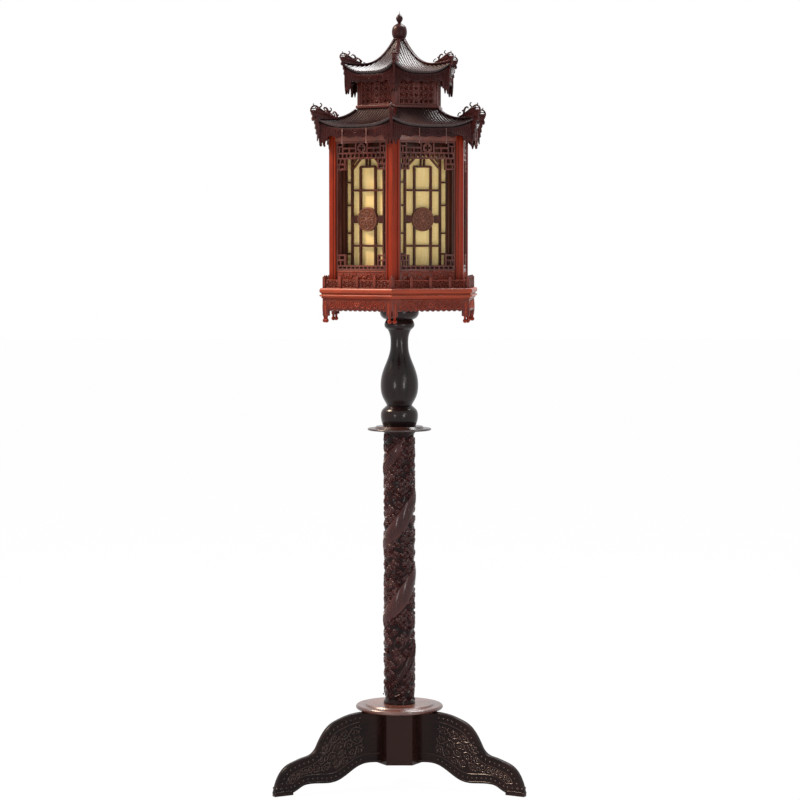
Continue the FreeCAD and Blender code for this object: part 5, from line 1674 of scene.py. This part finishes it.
@dataclass
class BeastHead:
    """Dragon-like head that ends a ridge, seen from the side in the plane of its corner."""

    tip: float
    seat: float
    along: float
    tall: float
    beard_drop: float
    thickness: float = 6.4

    def at(self, points: Sequence[tuple[float, float]]) -> np.ndarray:
        """Points of the pattern, in the plane of the corner."""
        return np.array([(self.tip + u * self.along, self.seat + w * self.tall) for u, w in points])

    def build(self, carving: Carving, angle: float) -> None:
        """Add the head.

        Args:
            carving: Mesh that takes it.
            angle: Direction of its corner.
        """
        k = self.tall
        plane = side_ground(angle, 1, 0.0)
        skull = [(-42, 0.4), (-32, 3.5), (-22, 9), (-13, 14.5), (-5, 18), (3, 17), (9, 17.5), (13.5, 15),
                 (12.5, 9), (9.0, 3), (11.5, -2), (10.0, -8), (7.4, -8.5), (6.4, -3), (2.5, -2.2),
                 (0.4, -2.2), (0.4, 0.4)]
        carving.plate(self.at(skull), self.thickness * k, plane)
        self.beard(carving, plane)
        for path, radii in (
            # crest along the back of the neck
            ([(-44, 1.5), (-34, 5), (-24, 10.5), (-14, 16.5), (-7, 21.5), (-2, 25.5)],
             [1.6, 2.2, 2.6, 2.8, 2.6, 2.0]),
            # arch over the open brow
            ([(13, 13), (13.5, 19), (10, 24.5), (4, 27), (-2, 25.5)], [2.4, 2.2, 2.0, 2.0, 2.0]),
            # bar across the opening
            ([(0.5, 25), (2.5, 21.5), (7, 20.5), (12, 20)], [1.2, 1.2, 1.2, 1.2]),
            # nub on the arch
            ([(6.5, 26.5), (7, 29.5), (7.2, 32)], [1.5, 1.1, 1.7]),
            # horn
            ([(-6, 22), (-10.5, 24.5), (-13.5, 28), (-13, 31.5), (-10, 33)], [2.2, 1.9, 1.6, 1.4, 1.5]),
            # thick curl behind the horn
            ([(-31, 7), (-30.5, 12), (-29, 17.5), (-25, 22.5), (-20.5, 23), (-18.5, 20)],
             [2.6, 2.5, 2.5, 2.2, 1.7, 1.6]),
            # small curl further back
            ([(-47, 2), (-47, 6), (-44.5, 9.5), (-41, 11), (-39.3, 9)], [1.5, 1.4, 1.3, 1.1, 1.2]),
        ):
            smooth = self.smoothed(self.at(path), np.array(radii) * k)
            carving.tube(smooth[:, :2], smooth[:, 2], plane)
        for side in (-1, 1):
            ground = side_ground(angle, side, self.thickness * k / 2 - 0.2)
            mane = [Stroke(self.at([(-34 + 6.4 * j, 1.2 + 1.4 * j), (-27 + 6.4 * j, 4.6 + 1.6 * j),
                                    (-21 + 6.2 * j, 9.6 + 1.5 * j)]), 2.6 * k, 1.8 * k, (0.4, 0.4))
                    for j in range(6)]
            carving.strokes(mane, ground, 1.0)
            carving.beads(self.at([(-34, 15)]), 2.2 * k, side_ground(angle, side, 0.0), 1.0)
            # ears stand out to both sides
            carving.beads(self.at([(-3, 20)]), 3.4 * k, side_ground(angle, side, 1.2), 2.4)
            carving.beads(self.at([(8, 12)]), 2.2 * k, ground, 1.2)

    def beard(self, carving: Carving, plane: Ground) -> None:
        """Leaf that hangs down the corner under the head, ragged along its outer edge.

        Args:
            carving: Mesh that takes it.
            plane: Plane of the corner.
        """
        behind = -6.6
        reach = 14.0
        top = 2.0
        leaf = [(0.0, 0.0), (0.95, 0.0), (1.0, 0.10), (0.78, 0.16), (0.84, 0.27), (0.62, 0.34), (0.70, 0.48),
                (0.46, 0.54), (0.52, 0.70), (0.28, 0.74), (0.30, 1.0), (0.10, 0.82), (0.0, 0.76)]
        outline = [(self.tip + behind + reach * u, self.seat + top - (self.beard_drop + 10.0) * w)
                   for u, w in leaf]
        carving.plate(np.array(outline), self.thickness * self.tall, plane)

    @staticmethod
    def smoothed(path: np.ndarray, radii: np.ndarray) -> np.ndarray:
        """Rounded path with radii, three points for each of the given ones.

        Args:
            path: Chosen points.
            radii: Radius at each.

        Returns:
            Rows of across, up and radius.
        """
        rows = np.column_stack([path, radii])
        t = np.linspace(0, len(rows) - 1, 3 * len(rows))
        found = []
        for value in t:
            k = min(int(value), len(rows) - 2)
            f = value - k
            before = rows[max(k - 1, 0)]
            after = rows[min(k + 2, len(rows) - 1)]
            a, b = rows[k], rows[k + 1]
            found.append(0.5 * ((2 * a) + (b - before) * f + (2 * before - 5 * a + 4 * b - after) * f ** 2
                                + (3 * a - before - 3 * b + after) * f ** 3))
        return np.array(found)


@dataclass
class RoofAssembly:
    """Both layers of the roof, the drum between them and the finial."""

    finishes: Finishes
    lower_tip: float = 213.0
    upper_tip: float = 147.0
    drop_length: float = 36.0
    drum_corner: float = 108.8
    drum_post: float = 9.0
    tracery_depth: float = 3.2

    def build(self) -> None:
        """Build and dress every piece that lifts off with the roof."""
        wood = self.finishes.wood
        for node, width, key in (("roof_frame", 0.8, "hidden"), ("hip_rafters", 0.6, "hidden"),
                                 ("drum_ledge", 1.6, "drum"), ("drum_posts", 0.9, "drum"),
                                 ("drum_ring", 0.8, "hidden"), ("apex_block", 0.6, "hidden")):
            eased(node, width, "roof", wood(key))
        dress(["roof_collar", "finial"], wood("roof"))
        dress(["drum_panels"], wood("drum"))
        TiledRoof(self.finishes, "lower", self.lower_tip, inner=92.0, rib_pitch=7.0, head_length=50.0,
                  head_height=31.0, head_setback=0.0, beard_drop=47.0).build()
        TiledRoof(self.finishes, "upper", self.upper_tip, inner=13.0, rib_pitch=6.0, head_length=45.0,
                  head_height=25.0, head_setback=7.0, beard_drop=50.0).build()
        self.drum_tracery()
        self.drops()

    def drum_tracery(self) -> None:
        """Pierced scrollwork between the posts of the drum."""
        low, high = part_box("drum_panels")
        half = self.drum_corner / 2 - self.drum_post
        z0, z1 = low.z / MM, high.z / MM
        apothem = self.drum_corner * COS30 - 2.0
        border = 3.4
        rows = 3
        inner_half = half - border
        tall = (z1 - z0 - 2 * border) / rows
        strokes = [Stroke(np.array([(-half, z), (0, z), (half, z)]), border, 1.2)
                   for z in (z0 + border / 2, z1 - border / 2)]
        strokes += [Stroke(np.array([(u, z0), (u, (z0 + z1) / 2), (u, z1)]), border, 1.2)
                    for u in (-half + border / 2, half - border / 2)]
        for row in range(rows):
            middle = z0 + border + tall * (row + 0.5)
            band = vine_band(inner_half, tall * 0.56, 3, 2.4, 1.8)
            strokes += moved(band, 0, middle)
            if row:
                strokes.append(Stroke(np.array([(-half, middle - tall / 2), (0, middle - tall / 2),
                                                (half, middle - tall / 2)]), 1.8, 1.0))
        carving = Carving()
        for angle in FACE_ANGLES:
            carving.strokes(strokes, face_ground(angle, apothem), self.tracery_depth)
        carving.piece("drum_tracery", "roof", "roof_wood", self.finishes.wood("drum"))

    def drops(self) -> None:
        """Turned drops that hang from the lower eaves."""
        apothem = self.lower_tip * COS30 - 6.0 - 1.0
        probe = Probe("lower_valances")
        carving = Carving()
        foot = -self.drop_length
        outline = [(0.4, 0.0), (1.1, -1.0), (1.1, foot + 9), (2.0, foot + 7), (1.3, foot + 5.5),
                   (2.6, foot + 2.5), (1.6, foot + 0.6), (0.3, foot)]
        for angle in FACE_ANGLES:
            ground = face_ground(angle, apothem + 4.0)
            for share in (-1 / 3, 1 / 3):
                at, _ = ground.lift(np.array([(share * apothem * TAN30, 0.0)]))
                top = probe.span(face_ground(angle, apothem), share * apothem * TAN30, 1.0)
                carving.turned(outline, (at[0, 0], at[0, 1], (top[1] if top else 1550.0) - 1.0), 10)
        carving.piece("eave_drops", "roof", "roof_wood", self.finishes.wood("drop"))


# ================================================================ bulb

@dataclass
class Bulb:
    """Screw-cap bulb inside the lantern."""

    finishes: Finishes
    thread_pitch: float = 3.6
    thread_depth: float = 0.7

    def build(self) -> None:
        """Build and dress the bulb."""
        dress(["bulb_glass"], self.finishes.other(OPAL))
        low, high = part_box("bulb_cap")
        radius = (high.x - low.x) / 2 / MM
        length = (high.z - low.z) / MM
        outline = [(2.5, 0.0), (5.0, 0.6), (radius * 0.72, 3.2)]
        z = 4.0
        while z < length - 3.0:
            outline += [(radius - self.thread_depth, z), (radius - 0.05, z + self.thread_pitch * 0.35),
                        (radius - 0.05, z + self.thread_pitch * 0.55)]
            z += self.thread_pitch
        outline += [(radius - 0.3, length - 2.5), (radius - 0.05, length)]
        carving = Carving()
        carving.turned(outline, (0.0, 0.0, low.z / MM), 40)
        carving.piece("bulb_screw_cap", "bulb", "nickel_cap", self.finishes.other(BRASS), ["bulb_cap"], 35.0)


# ================================================================ studio

@dataclass
class Studio:
    """Pale floor, soft light and the camera."""

    focal_pixels: float = 2600.0
    frame_pixels: float = 800.0
    sensor: float = 36.0
    distance: float = 6155.66
    eye_height: float = 1277.3
    side_step: float = 1.4
    pitch: float = 3.36775
    ambient_level: float = 0.27
    floor_brightness: float = 0.985

    def build(self) -> None:
        """Set the floor, world, lamps and camera."""
        self.floor()
        self.world()
        for name, at, aim, size, power, tint in (
                ("key_softbox", (-3.1, 0.1, 4.2), 1.3, (1.4, 1.4), 380.0, "FFE2C8"),
                ("fill_softbox", (2.3, -3.3, 2.0), 1.2, (1.2, 1.2), 16.0, "FFF6F2"),
                ("left_strip", (-1.9, -3.55, 0.95), 1.0, (0.22, 0.7), 18.0, "FFFFFF"),
                ("right_strip", (1.9, -3.55, 0.95), 1.0, (0.22, 0.7), 20.0, "FFFFFF"),
                ("top_softbox", (1.15, 1.0, 4.4), 1.7, (2.0, 2.0), 230.0, "FFFFFF")):
            self.lamp(name, at, (0.0, 0.0, aim), size, power, tint)
        self.camera()
        bpy.context.scene.view_settings.view_transform = "Standard"

    def camera(self) -> None:
        """Camera at the photograph's viewing angle."""
        data = bpy.data.cameras.new("camera")
        data.sensor_width = self.sensor
        data.lens = self.focal_pixels / self.frame_pixels * self.sensor
        data.clip_end = 60.0
        camera = bpy.data.objects.new("camera", data)
        camera.location = (self.side_step * MM, -self.distance * MM, self.eye_height * MM)
        camera.rotation_euler = (math.radians(90 - self.pitch), 0, 0)
        bpy.context.scene.collection.objects.link(camera)
        bpy.context.scene.camera = camera

    def lamp(self, name: str, at: tuple[float, float, float], towards: tuple[float, float, float],
             size: tuple[float, float], power: float, tint: str) -> None:
        """Add one softbox.

        Args:
            name: Of the lamp.
            at: Its place in metres.
            towards: Point that it faces.
            size: Its width and height in metres.
            power: In watts.
            tint: Its colour.
        """
        data = bpy.data.lights.new(name, "AREA")
        data.shape = "RECTANGLE"
        data.size, data.size_y = size
        data.energy = power
        data.color = linear(tint)[:3]
        light = bpy.data.objects.new(name, data)
        light.location = at
        light.rotation_euler = (Vector(towards) - Vector(at)).to_track_quat("-Z", "Y").to_euler()
        bpy.context.scene.collection.objects.link(light)

    def world(self) -> None:
        """White surroundings for the eye and for reflections, and a plain level of light."""
        world = bpy.data.worlds.new("studio")
        world.use_nodes = True
        tree = world.node_tree
        background = tree.nodes["Background"]
        level = ramp(tree, seen_straight(tree), 0.0, 1.0, self.ambient_level, 1.0)
        tree.links.new(level, background.inputs["Strength"])
        background.inputs["Color"].default_value = (1, 1, 1, 1)
        bpy.context.scene.world = world

    def floor(self) -> None:
        """Pale floor that keeps the lamp's shadow."""
        mesh = bpy.data.meshes.new("studio_floor")
        reach = 30.0
        mesh.from_pydata([(-reach, -reach, 0), (reach, -reach, 0), (reach, reach, 0), (-reach, reach, 0)], [],
                         [(0, 1, 2, 3)])
        floor = bpy.data.objects.new("studio_floor", mesh)
        bpy.context.scene.collection.objects.link(floor)
        material, tree, shader = started("pale_floor")
        shader.inputs["Base Color"].default_value = linear("F2F2F2")
        shader.inputs["Roughness"].default_value = 0.9
        bright = add(tree, "ShaderNodeEmission", {"Color": (1, 1, 1, 1), "Strength": 1.0}).outputs[0]
        share = calculated(tree, "MULTIPLY", seen_straight(tree), self.floor_brightness)
        both = add(tree, "ShaderNodeMixShader", {0: share, 1: shader.outputs[0], 2: bright}).outputs[0]
        tree.links.new(both, tree.nodes["Material Output"].inputs["Surface"])
        mesh.materials.append(material)


def main() -> None:
    """Build the lamp and its studio, in order."""
    logging.basicConfig(level=logging.INFO, format="%(name)s: %(message)s")
    finishes = Finishes()
    Stand(finishes).build()
    LanternBody(finishes).build()
    RoofAssembly(finishes).build()
    Bulb(finishes).build()
    Studio().build()


if __name__ == "__main__":
    main()
